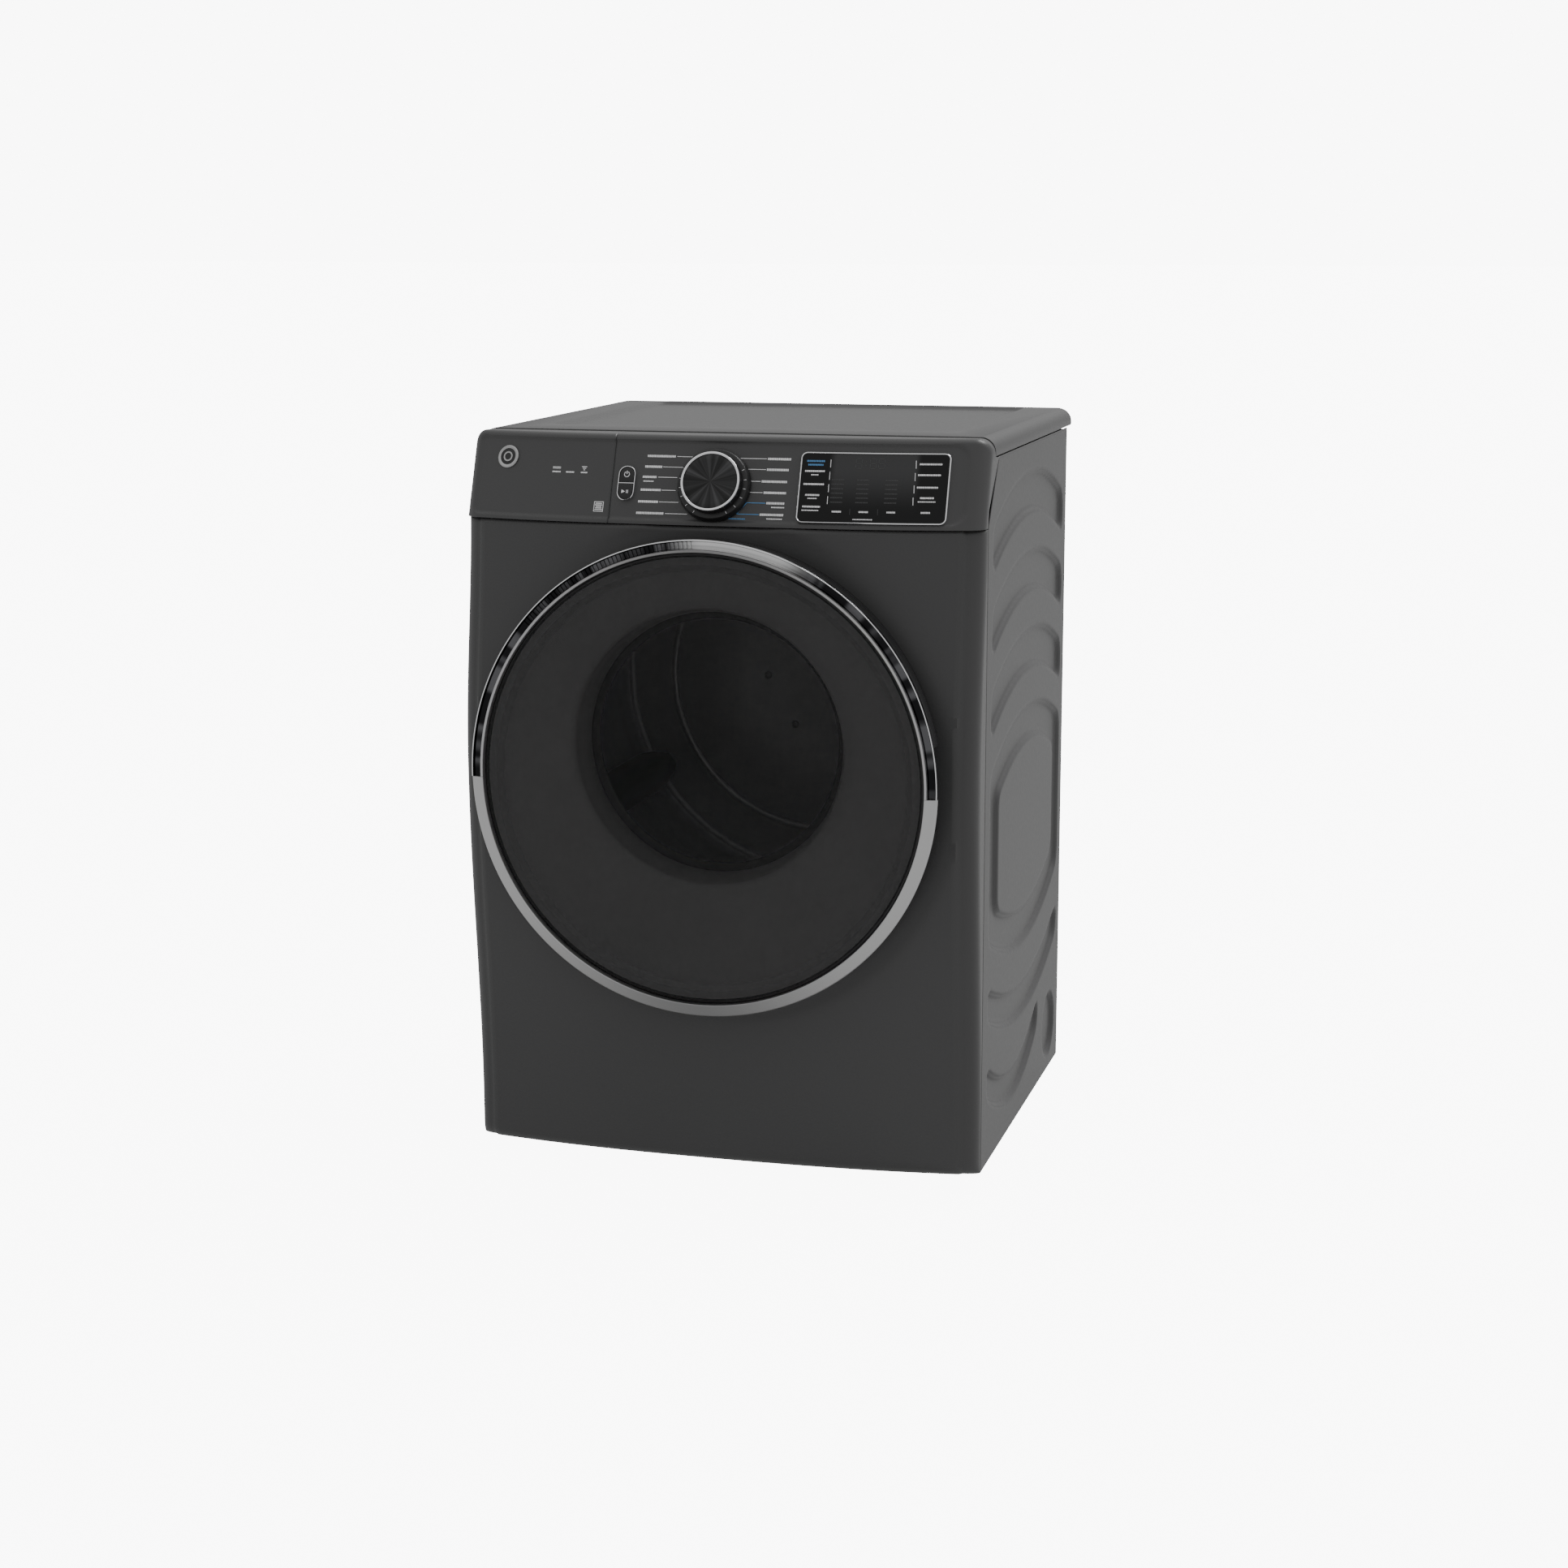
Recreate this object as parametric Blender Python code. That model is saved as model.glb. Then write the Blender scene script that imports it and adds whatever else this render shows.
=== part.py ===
"""A 28 inch front-loading clothes dryer, made as an assembly of separate pieces.

The cabinet's frame has X to the right, Y to the back and Z up. Its origin is in the middle of the
cabinet, at the front edge of the side panels and at the bottom edge of the sheet metal. One empty
carries that frame, so that the whole model stands on its feet with its origin in the middle below.
"""

import math

import bmesh
import bpy
from mathutils import Matrix, Vector

# Overall sizes, in metres
WIDTH = 0.7112
BODY_HEIGHT = 0.9855
SIDE_DEPTH = 0.584
TOP_OVERHANG = 0.0555
FOOT_HEIGHT = 0.024
CLEAR = 0.0004
SEAM = 0.0006
SHEET = 0.0011

# Front panel and console
CONSOLE_HEIGHT = 0.1145
SEAM_Z = BODY_HEIGHT - CONSOLE_HEIGHT
CORNER_R = 0.026
EDGE_BULGE = 0.031
BULGE_UP = 0.36
BULGE_DOWN = 0.50
BOW_BOTTOM = 0.0255
BOW_TOP = 0.036
CURL_R = 0.020
LAND_Y = -0.062
CONSOLE_TILT = math.radians(21)
CONSOLE_REACH = 0.030
CONSOLE_CORNER_R = 0.020
CONSOLE_LIP = 0.009
CONSOLE_BOW = 0.034
CONSOLE_TOP_R = 0.010
CONSOLE_CORNER_DROP = 0.020
CONSOLE_WALL = 0.0025
TOP_SEAM_Y = 0.045
SPLIT_X = -0.1415
SKIRT = 0.025
TOP_EDGE_R = 0.020
SUNKEN = 0.005

# Door
DOOR_Z = 0.543
RING_R = 0.3175
RING_IN_R = 0.3005
RING_BACK_Y = -0.1128
WINDOW_R = 0.2965
WINDOW_Y = -0.1275
DOOR_BACK_Y = -0.070
DOOR_SHELL_R = 0.3135
PLUG_GAP = 0.010
PLUG_BACK_Y = -0.030
HINGE_X = 0.300
HINGE_Y = -0.098
DOOR_SWING = math.radians(150)

# Drum and drive
DRUM_Z = 0.581
DRUM_R = 0.318
DRUM_FRONT_Y = 0.035
DRUM_BACK_Y = 0.520
DRUM_LIP = 0.012
THROAT_R = 0.200
THROAT_WALL = 0.0025
BAFFLES = 3
BAFFLE_RISE = 0.070
ROLLER_R = 0.028
ROLLER_ANGLE = math.radians(38)
BELT_Y = 0.376
BELT_WIDTH = 0.010
BELT_THICK = 0.002
MOTOR_X = 0.130
MOTOR_Z = 0.140
MOTOR_R = 0.062
SHAFT_R = 0.006
PULLEY_R = 0.0125
BLOWER_R = 0.095
WHEEL_R = 0.080
IDLER_R = 0.018
IDLER_PIVOT = (-0.120, 0.155)
DUCT_R = 0.0505
DUCT_X = -0.035
DUCT_Z = 0.090

# Controls
DIAL_UP = 0.055
SKIRT_R = 0.0495
KNOB_R = 0.040
KNOB_RISE = 0.022
PILL_X = -0.121
DISPLAY_X = 0.211
DISPLAY_SIZE = (0.194, 0.095)
PILL_SIZE = (0.0235, 0.047)

# Places that follow from the sizes above
PLUG_R = THROAT_R - PLUG_GAP
DRUM_LIP_R = THROAT_R + DRUM_LIP
HALF = WIDTH / 2
PANEL_TOP = SEAM_Z - SEAM
CONSOLE_BOTTOM = SEAM_Z + SEAM
SIDE_TOP = BODY_HEIGHT - SKIRT - 0.0015
FRONT_REACH = -WINDOW_Y
REAR_REACH = SIDE_DEPTH + TOP_OVERHANG
REAR_BULKHEAD_Y = SIDE_DEPTH - 0.039
FRONT_BULKHEAD_Y = 0.016
FLOOR_Z = 0.0018
INSIDE = HALF - SHEET - CLEAR
PRESS_DEPTH = 0.006
CLEAR_OF_PRESS = HALF - PRESS_DEPTH - SHEET - CLEAR


# ---------------------------------------------------------------- helpers

for old in list(bpy.data.objects):
    bpy.data.objects.remove(old, do_unlink=True)


def empty(name, location, parent=None):
    item = bpy.data.objects.new(name, None)
    item.location = location
    item.parent = parent
    bpy.context.scene.collection.objects.link(item)
    return item


CABINET = empty("cabinet_frame", (0, (FRONT_REACH - REAR_REACH) / 2, FOOT_HEIGHT))


def material(name, colour, roughness, metallic=0.0, alpha=1.0):
    mat = bpy.data.materials.new(name)
    mat.use_nodes = True
    shader = mat.node_tree.nodes["Principled BSDF"]
    shader.inputs["Base Color"].default_value = (*colour, 1.0)
    shader.inputs["Roughness"].default_value = roughness
    shader.inputs["Metallic"].default_value = metallic
    shader.inputs["Alpha"].default_value = alpha
    return mat


PAINT = material("graphite_paint", (0.050, 0.050, 0.052), 0.45)
STEEL = material("zinc_steel", (0.55, 0.56, 0.58), 0.40, 1.0)
SATIN = material("satin_silver", (0.42, 0.42, 0.42), 0.32, 1.0)
CHROME = material("dark_chrome", (0.30, 0.30, 0.31), 0.10, 1.0)
BLACK = material("black_plastic", (0.012, 0.012, 0.012), 0.50)
GREY = material("grey_plastic", (0.11, 0.11, 0.115), 0.55)
GLASS = material("tinted_window", (0.020, 0.020, 0.022), 0.06, 0.0, 0.6)
RUBBER = material("rubber", (0.02, 0.02, 0.02), 0.85)
BOARD = material("circuit_board", (0.02, 0.09, 0.04), 0.50)


def add(name, bm, mat, parent=CABINET, local=False):
    """Put a finished mesh into the scene; a pivot's piece gets its origin on the pivot."""
    bmesh.ops.recalc_face_normals(bm, faces=bm.faces)
    mesh = bpy.data.meshes.new(name)
    bm.to_mesh(mesh)
    bm.free()
    if parent is not CABINET and not local:
        mesh.transform(Matrix.Translation(-parent.location))
    mesh.materials.append(mat)
    mesh.shade_smooth()
    mesh.set_sharp_from_angle(angle=math.radians(32))
    item = bpy.data.objects.new(name, mesh)
    item.parent = parent
    bpy.context.scene.collection.objects.link(item)
    return item


def cut(item, *tools, operation="DIFFERENCE"):
    """Boolean each tool into the item; a tool is a mesh in the same coordinates as the item."""
    for index, bm in enumerate(tools):
        tool = add(f"{item.name}_tool_{len(item.modifiers)}_{index}", bm, STEEL, item.parent)
        tool.hide_render = True
        tool.display_type = "WIRE"
        step = item.modifiers.new("Shape", "BOOLEAN")
        step.operation = operation
        step.object = tool
    return item


def use_manifold(item):
    """The exact solver loses these thin curved walls."""
    for step in item.modifiers:
        if step.type == "BOOLEAN":
            step.solver = "MANIFOLD"


def join(item, *tools):
    return cut(item, *tools, operation="UNION")


def shell(item, thickness):
    """Give an open surface, whose faces point outwards, a wall on its inner side."""
    wall = item.modifiers.new("Wall", "SOLIDIFY")
    wall.thickness = thickness
    wall.offset = -1
    wall.use_even_offset = True
    return item


def box(low, high):
    bm = bmesh.new()
    bmesh.ops.create_cube(bm, size=1)
    size = [b - a for a, b in zip(low, high)]
    middle = [(a + b) / 2 for a, b in zip(low, high)]
    bmesh.ops.scale(bm, vec=size, verts=bm.verts)
    bmesh.ops.translate(bm, vec=middle, verts=bm.verts)
    return bm


def lathe(profile, centre, steps=48, arc=None):
    """Turn (radius, y) points about a line along Y through centre, given as (x, z).

    A profile that starts and ends on the axis is a solid; any other is a closed ring. An arc of
    (start, end) angles turns only part of the way round and closes both ends.
    """
    bm = bmesh.new()
    on_axis = profile[0][0] == 0
    start, end = arc if arc else (0, math.tau)
    count = steps + 1 if arc else steps
    angles = [start + (end - start) * k / steps for k in range(count)]
    rows = []
    for radius, y in profile:
        if radius == 0:
            rows.append([bm.verts.new((centre[0], y, centre[1]))] * count)
            continue
        rows.append([
            bm.verts.new((centre[0] + radius * math.cos(a), y, centre[1] + radius * math.sin(a)))
            for a in angles
        ])
    if not on_axis:
        rows.append(rows[0])
    for near, far in zip(rows, rows[1:]):
        for k in range(steps):
            n = (k + 1) % count
            corners = [near[k], near[n], far[n], far[k]]
            bm.faces.new(list(dict.fromkeys(corners)))
    if arc:
        for k in (0, steps):
            bm.faces.new([row[k] for row in rows[:-1]])
    return bm


def prism(outline, plane, low, high, far_outline=None):
    """Extrude an outline along the axis that its plane leaves out, such as Y for XZ."""
    bm = bmesh.new()

    def point(pair, depth):
        place = {plane[0]: pair[0], plane[1]: pair[1]}
        return [place.get(axis, depth) for axis in "XYZ"]

    near = [bm.verts.new(point(p, low)) for p in outline]
    far = [bm.verts.new(point(p, high)) for p in (far_outline or outline)]
    bm.faces.new(near)
    bm.faces.new(far)
    for k in range(len(near)):
        n = (k + 1) % len(near)
        bm.faces.new((near[k], near[n], far[n], far[k]))
    return bm


def rounded(width, height, radius, centre=(0, 0), steps=4):
    """The outline of a rounded rectangle, counter-clockwise."""
    points = []
    for quarter, (sx, sy) in enumerate(((1, 1), (-1, 1), (-1, -1), (1, -1))):
        for k in range(steps + 1):
            a = math.radians(90 * (quarter + k / steps))
            x = centre[0] + sx * (width / 2 - radius) + radius * math.cos(a)
            y = centre[1] + sy * (height / 2 - radius) + radius * math.sin(a)
            points.append((x, y))
    return points


def circle(radius, centre, steps=32):
    return [
        (centre[0] + radius * math.cos(math.tau * k / steps),
         centre[1] + radius * math.sin(math.tau * k / steps))
        for k in range(steps)
    ]


def bore(radius, centre, low, high, steps=32):
    return prism(circle(radius, centre, steps), "XZ", low, high)


def offset(outline, distance):
    """Move each side of a closed outline outwards, with mitred corners."""
    area = sum(a[0] * b[1] - b[0] * a[1] for a, b in zip(outline, outline[1:] + outline[:1]))
    turn = 1 if area > 0 else -1
    moved = []
    for before, here, after in zip(outline[-1:] + outline[:-1], outline, outline[1:] + outline[:1]):
        first = (Vector(here) - Vector(before)).normalized()
        second = (Vector(after) - Vector(here)).normalized()
        normal = Vector((first.y + second.y, -first.x - second.x)).normalized() * turn
        reach = distance / max(0.5, normal.dot(Vector((first.y, -first.x)) * turn))
        moved.append((here[0] + normal.x * reach, here[1] + normal.y * reach))
    return moved


def surface(columns):
    """An open sheet from columns of points, all with the same number of rows."""
    bm = bmesh.new()
    grid = [[bm.verts.new(p) for p in column] for column in columns]
    for left, right in zip(grid, grid[1:]):
        for k in range(len(left) - 1):
            bm.faces.new((left[k], right[k], right[k + 1], left[k + 1]))
    return bm, grid


def add_sheet(name, bm, mat, outward, thickness, parent=CABINET):
    """Turn an open sheet's faces so that most of them look along outward, then thicken it."""
    bmesh.ops.recalc_face_normals(bm, faces=bm.faces)
    bm.normal_update()
    total = sum((face.normal * face.calc_area() for face in bm.faces), Vector())
    if total.dot(Vector(outward)) < 0:
        bmesh.ops.reverse_faces(bm, faces=bm.faces)
    mesh = bpy.data.meshes.new(name)
    bm.to_mesh(mesh)
    bm.free()
    mesh.materials.append(mat)
    mesh.shade_smooth()
    mesh.set_sharp_from_angle(angle=math.radians(32))
    item = bpy.data.objects.new(name, mesh)
    item.parent = parent
    bpy.context.scene.collection.objects.link(item)
    return shell(item, thickness)


# ---------------------------------------------------------------- cabinet

def bell(z):
    """How far the front panel's edge bulges ahead of the seam, largest at the door's middle."""
    reach = BULGE_UP if z > DOOR_Z else BULGE_DOWN
    share = min(1.0, abs(z - DOOR_Z) / reach)
    return 0.001 + EDGE_BULGE * math.cos(math.pi / 2 * share) ** 2


def curl(z):
    """How far the panel's lower edge turns back under."""
    if z >= CURL_R:
        return 0.0
    return CURL_R - math.sqrt(CURL_R ** 2 - (CURL_R - z) ** 2)


def front_columns():
    """Columns of points over the front panel, from one rear edge round to the other."""
    heights = [CURL_R * (1 - math.cos(math.radians(a))) for a in (0, 30, 60, 90)]
    steps = 20
    heights += [CURL_R + (PANEL_TOP - CURL_R) * k / steps for k in range(1, steps + 1)]
    flat = HALF - CORNER_R
    across = 16
    stations = [(-HALF, None)]
    stations += [(-HALF + CORNER_R * (1 - math.cos(math.radians(a))), a) for a in (0, 22.5, 45, 67.5)]
    stations += [(-flat + 2 * flat * k / across, 90) for k in range(across + 1)]
    stations += [(-x, a) for x, a in reversed(stations[:5])]
    columns = []
    for x, angle in stations:
        column = []
        for z in heights:
            if angle is None:
                column.append((x, -SEAM, z))
                continue
            bow = BOW_BOTTOM + (BOW_TOP - BOW_BOTTOM) * z / SEAM_Z
            inner = min(1.0, abs(x) / HALF)
            y = -bell(z) - (CORNER_R - curl(z)) * math.sin(math.radians(angle))
            y -= bow * (1 - inner ** 2.5) if angle == 90 else 0
            column.append((x, max(y, LAND_Y), z))
        columns.append(column)
    return columns


def front_panel():
    bm, grid = surface(front_columns())
    item = add_sheet("front_panel", bm, PAINT, (0, -1, 0), SHEET)
    opening = THROAT_R + THROAT_WALL + 0.0025
    latch = box((-0.297, LAND_Y - 0.01, DOOR_Z - 0.018), (-0.274, LAND_Y + 0.01, DOOR_Z + 0.018))
    plunger = bore(0.0065, (-0.262, DOOR_Z + 0.082), LAND_Y - 0.01, LAND_Y + 0.01, 16)
    cut(item, bore(opening, (0, DRUM_Z), LAND_Y - 0.05, LAND_Y + 0.05, 48), latch, plunger)
    use_manifold(item)


def arch(y0, y1, z_end, z_peak, steps=9):
    """Points of a shallow arch from y0 to y1, a parabola between its ends and its peak."""
    points = []
    for k in range(steps + 1):
        t = k / steps
        points.append((y0 + (y1 - y0) * t, z_end + (z_peak - z_end) * 4 * t * (1 - t)))
    return points


BAND_Y0 = 0.035
BAND_Y1 = 0.557
BAND_HEIGHT = 0.048
BAND_RISE = 0.054
RING_WALL = 0.0065


def band(z_end, rise, y1=BAND_Y1, height=BAND_HEIGHT):
    """A curved channel: its lower arch, then its upper arch backwards."""
    low = arch(BAND_Y0, y1, z_end, z_end + rise)
    high = arch(BAND_Y0, y1, z_end + height, z_end + height + rise)
    return low + high[::-1]


def side_channels():
    """Outlines of the pressed channels, as shares of the panel's height and depth."""
    outlines = [band(z, BAND_RISE) for z in (0.820, 0.710, 0.600)]
    outlines.append(band(0.200, -BAND_RISE))
    outlines.append(band(0.095, -BAND_RISE, 0.415))
    outlines.append([(p[0], p[1]) for p in circle(0.050, (0.505, 0.069), 20)])
    ring_out = arch(BAND_Y0, BAND_Y1, 0.310, 0.250) + arch(BAND_Y0, BAND_Y1, 0.537, 0.593)[::-1]
    ring_in = arch(0.088, 0.510, 0.338, 0.297) + arch(0.088, 0.510, 0.505, 0.547)[::-1]
    scale_y = SIDE_DEPTH / 0.584
    scale_z = SIDE_TOP / 0.959
    fit = [[(y * scale_y, z * scale_z) for y, z in line] for line in outlines + [ring_out, ring_in]]
    return fit[:-2], fit[-2], fit[-1]


def side_panel(name, side):
    """A sheet with channels pressed inwards; side is 1 for the right and -1 for the left."""
    step = SIDE_TOP - 0.066
    outline = [(0, 0), (SIDE_DEPTH, 0), (SIDE_DEPTH, SIDE_TOP), (TOP_SEAM_Y + 0.0225, SIDE_TOP),
               (0.004, step), (0, PANEL_TOP)]
    item = add(name, prism(outline, "YZ", side * (HALF - SHEET), side * HALF), PAINT)
    channels, ring_out, ring_in = side_channels()
    floor = HALF - PRESS_DEPTH
    for line in channels:
        pan = prism(offset(line, SHEET), "YZ", side * (floor - SHEET), side * (HALF - SHEET / 2),
                    offset(line, SHEET + RING_WALL))
        join(item, pan)
    join(item, prism(offset(ring_out, SHEET), "YZ", side * (floor - SHEET),
                     side * (HALF - SHEET / 2), offset(ring_out, SHEET + RING_WALL)))
    for line in channels + [ring_out]:
        cut(item, prism(line, "YZ", side * floor, side * (HALF + RING_WALL / 8),
                        offset(line, RING_WALL)))
    island = prism(ring_in, "YZ", side * (floor - SHEET / 2), side * HALF,
                   offset(ring_in, -RING_WALL))
    hollow = prism(offset(ring_in, -SHEET), "YZ", side * (floor - 2 * SHEET), side * (HALF - SHEET),
                   offset(ring_in, -SHEET - RING_WALL))
    join(item, island)
    cut(item, hollow)


def lid(grow, bottom):
    """A box with rounded side and rear edges, smaller than the top panel by -grow all round."""
    front = TOP_SEAM_Y + SEAM
    top = BODY_HEIGHT + grow
    bm = box((-HALF - grow, front - grow, bottom), (HALF + grow, REAR_REACH + grow, top))
    rounds = []
    for edge in bm.edges:
        middle = (edge.verts[0].co + edge.verts[1].co) / 2
        behind = middle.y > front + 0.01
        along_top = middle.z > top - 0.001 and behind
        upright = middle.z < top - 0.001 and middle.z > bottom + 0.001 and middle.y > REAR_REACH - 0.01
        if along_top or upright:
            rounds.append(edge)
    bmesh.ops.bevel(bm, geom=rounds, offset=TOP_EDGE_R + grow, segments=5, profile=0.5, affect="EDGES")
    return bm


def top_panel():
    """A lid with rounded side and rear edges, a skirt and a sunken field."""
    item = add("top_panel", lid(0.0, BODY_HEIGHT - SKIRT), PAINT)
    front, rear = TOP_SEAM_Y + SEAM + 0.080, REAR_REACH - 0.0195
    field = rounded(WIDTH - 0.131, rear - front, 0.012, (0, (front + rear) / 2), 3)
    wall = 0.012
    cut(item, lid(-SHEET, BODY_HEIGHT - SKIRT - 0.02))
    join(item, prism(offset(field, -wall + SHEET), "XY", BODY_HEIGHT - SUNKEN - SHEET, BODY_HEIGHT - SHEET / 2,
                     offset(field, SHEET)))
    cut(item, prism(offset(field, -wall), "XY", BODY_HEIGHT - SUNKEN, BODY_HEIGHT + 0.0001, field))
    use_manifold(item)


def base_pan():
    wall = SHEET
    low = (-CLEAR_OF_PRESS, 0.004, 0.0)
    high = (CLEAR_OF_PRESS, SIDE_DEPTH - 0.004, 0.030)
    item = add("base_pan", box(low, high), STEEL)
    hollow = box((low[0] + wall, low[1] + wall, wall), (high[0] - wall, high[1] - wall, 0.05))
    holes = [prism(circle(0.0058, place, 12), "XY", -0.01, 0.01) for place in foot_places()]
    cut(item, hollow, *holes)


def foot_places():
    inset_x = 0.0556
    return [(x, y) for x in (-HALF + inset_x, HALF - inset_x) for y in (0.085, SIDE_DEPTH - 0.054)]


def feet():
    names = ("front_left", "rear_left", "front_right", "rear_right")
    for name, (x, y) in zip(names, foot_places()):
        pivot = empty(f"foot_{name}_pivot", (x, y, 0), CABINET)
        profile = [(0, -FOOT_HEIGHT), (0.018, -FOOT_HEIGHT), (0.021, -FOOT_HEIGHT + 0.003),
                   (0.021, -FOOT_HEIGHT + 0.010), (0.010, -FOOT_HEIGHT + 0.014),
                   (0.0050, -FOOT_HEIGHT + 0.016), (0.0050, 0.026), (0, 0.026)]
        bm = lathe([(r, z) for r, z in profile], (0, 0), 16)
        bmesh.ops.rotate(bm, cent=(0, 0, 0), matrix=Matrix.Rotation(math.pi / 2, 3, "X"), verts=bm.verts)
        add(f"foot_{name}", bm, BLACK, pivot, local=True)


def rear_panel():
    low = (-INSIDE, SIDE_DEPTH - SHEET, 0.0315)
    high = (INSIDE, SIDE_DEPTH, SIDE_TOP - 0.002)
    item = add("rear_panel", box(low, high), STEEL)
    window = prism(rounded(0.040, 0.050, 0.006, (-0.225, 0.850)), "XZ", SIDE_DEPTH - 0.01, SIDE_DEPTH + 0.01)
    cut(item, bore(DUCT_R + 0.0015, (DUCT_X, DUCT_Z), SIDE_DEPTH - 0.01, SIDE_DEPTH + 0.01), window)


def bulkheads():
    plate = box((-HALF + 0.012, FRONT_BULKHEAD_Y, 0.205), (HALF - 0.012, FRONT_BULKHEAD_Y + SHEET, SEAM_Z - 0.006))
    item = add("front_bulkhead", plate, STEEL)
    middle = FRONT_BULKHEAD_Y
    holes = [bore(SHAFT_R + CLEAR, place, middle - 0.01, middle + 0.01, 16) for place in roller_places()]
    cut(item, bore(THROAT_R + THROAT_WALL + 0.0008, (0, DRUM_Z), middle - 0.01, middle + 0.01, 48), *holes)
    low = (-CLEAR_OF_PRESS, REAR_BULKHEAD_Y, 0.0315)
    item = add("rear_bulkhead", box(low, (CLEAR_OF_PRESS, REAR_BULKHEAD_Y + SHEET, SIDE_TOP - 0.012)), STEEL)
    span = (REAR_BULKHEAD_Y - 0.01, REAR_BULKHEAD_Y + 0.01)
    cut(item, bore(DUCT_R + 0.0015, (DUCT_X, DUCT_Z), *span), bore(0.020, (0, DRUM_Z), *span, 24),
        bore(0.060, (0.155, DRUM_Z + 0.06), *span))


# ---------------------------------------------------------------- console

def console_lift(x):
    """The console face's extra forward bow at x, none at the sides."""
    return CONSOLE_BOW * (1 - min(1.0, abs(x) / HALF) ** 3)


def console_section(x, back, drop):
    """The console's profile at x, from the foot of its face up and over to the top panel."""
    tilt = CONSOLE_TILT
    foot = -CONSOLE_REACH + back
    centre_z = BODY_HEIGHT - drop - CONSOLE_TOP_R
    edge_z = centre_z + CONSOLE_TOP_R * math.sin(tilt)
    edge_y = foot + (edge_z - CONSOLE_BOTTOM) * math.tan(tilt)
    centre_y = edge_y + CONSOLE_TOP_R * math.cos(tilt)
    points = [(foot + CONSOLE_LIP, CONSOLE_BOTTOM), (foot, CONSOLE_BOTTOM)]
    points += [(foot + (edge_y - foot) * k / 3, CONSOLE_BOTTOM + (edge_z - CONSOLE_BOTTOM) * k / 3)
               for k in (1, 2)]
    for k in range(5):
        a = math.pi - tilt + (math.pi / 2 - math.pi + tilt) * k / 4
        points.append((centre_y + CONSOLE_TOP_R * math.cos(a), centre_z + CONSOLE_TOP_R * math.sin(a)))
    points.append((TOP_SEAM_Y, BODY_HEIGHT - drop))
    lift = console_lift(x)
    strip = TOP_SEAM_Y - centre_y
    return [(x, y - lift * min(1.0, (TOP_SEAM_Y - y) / strip), z) for y, z in points]


def console_part(name, x0, x1, end):
    """A length of the console; end is -1 or 1 where it reaches the cabinet's side."""
    flat = HALF - CONSOLE_CORNER_R
    stations = []
    inner, outer = (x1, -flat) if end < 0 else (x0, flat)
    count = max(3, round(abs(outer - inner) / 0.05))
    stations += [(inner + (outer - inner) * k / count, 0.0, 0.0) for k in range(count + 1)]
    for angle in (67.5, 45, 22.5, 0):
        a = math.radians(angle)
        reach = CONSOLE_CORNER_R * (1 - math.cos(a))
        back = CONSOLE_CORNER_R * (1 - math.sin(a))
        drop = CONSOLE_CORNER_DROP * (1 - math.sin(a))
        stations.append((end * (HALF - reach), back, drop))
    columns = [console_section(*s) for s in stations]
    bm, grid = surface(columns)
    last = grid[-1]
    side = end * HALF
    seam = [(TOP_SEAM_Y, BODY_HEIGHT - SKIRT - 0.0005), (TOP_SEAM_Y + 0.021, SIDE_TOP - 0.0006),
            (0.0033, SIDE_TOP - 0.0653)]
    seam_verts = [bm.verts.new((side, y, z)) for y, z in seam]
    bm.faces.new(last + seam_verts)
    return add_sheet(name, bm, PAINT, (0, -1, 1), CONSOLE_WALL)


def face_frame(x, up):
    """A matrix whose Z is the console face's outward normal at x, with its origin on the face."""
    slope = -3 * CONSOLE_BOW * x * abs(x) / HALF ** 3
    foot = -CONSOLE_REACH - console_lift(x)
    lean, height = math.sin(CONSOLE_TILT), math.cos(CONSOLE_TILT)
    origin = Vector((x, foot + up * lean, CONSOLE_BOTTOM + up * height))
    right = Vector((1, -slope, 0)).normalized()
    upward = Vector((0, lean, height))
    normal = right.cross(upward).normalized()
    upward = normal.cross(right)
    frame = Matrix((right, upward, normal)).transposed().to_4x4()
    frame.translation = origin
    return frame


def wrap(bm, x, up):
    """Bend a mesh, made in face coordinates about (x, up), onto the console's bowed face."""
    for vert in bm.verts:
        frame = face_frame(x + vert.co.x, up + vert.co.y)
        vert.co = frame @ Vector((0, 0, vert.co.z))
    return bm


def slab(outline, low, high, cuts=10):
    """A plate with vertical cuts across its width, so that it can be bent."""
    bm = prism(outline, "XY", low, high)
    left = min(p[0] for p in outline)
    right = max(p[0] for p in outline)
    for k in range(1, cuts):
        x = left + (right - left) * k / cuts
        bmesh.ops.bisect_plane(bm, geom=bm.verts[:] + bm.edges[:] + bm.faces[:], dist=1e-6,
                               plane_co=(x, 0, 0), plane_no=(1, 0, 0))
    return bm


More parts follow.
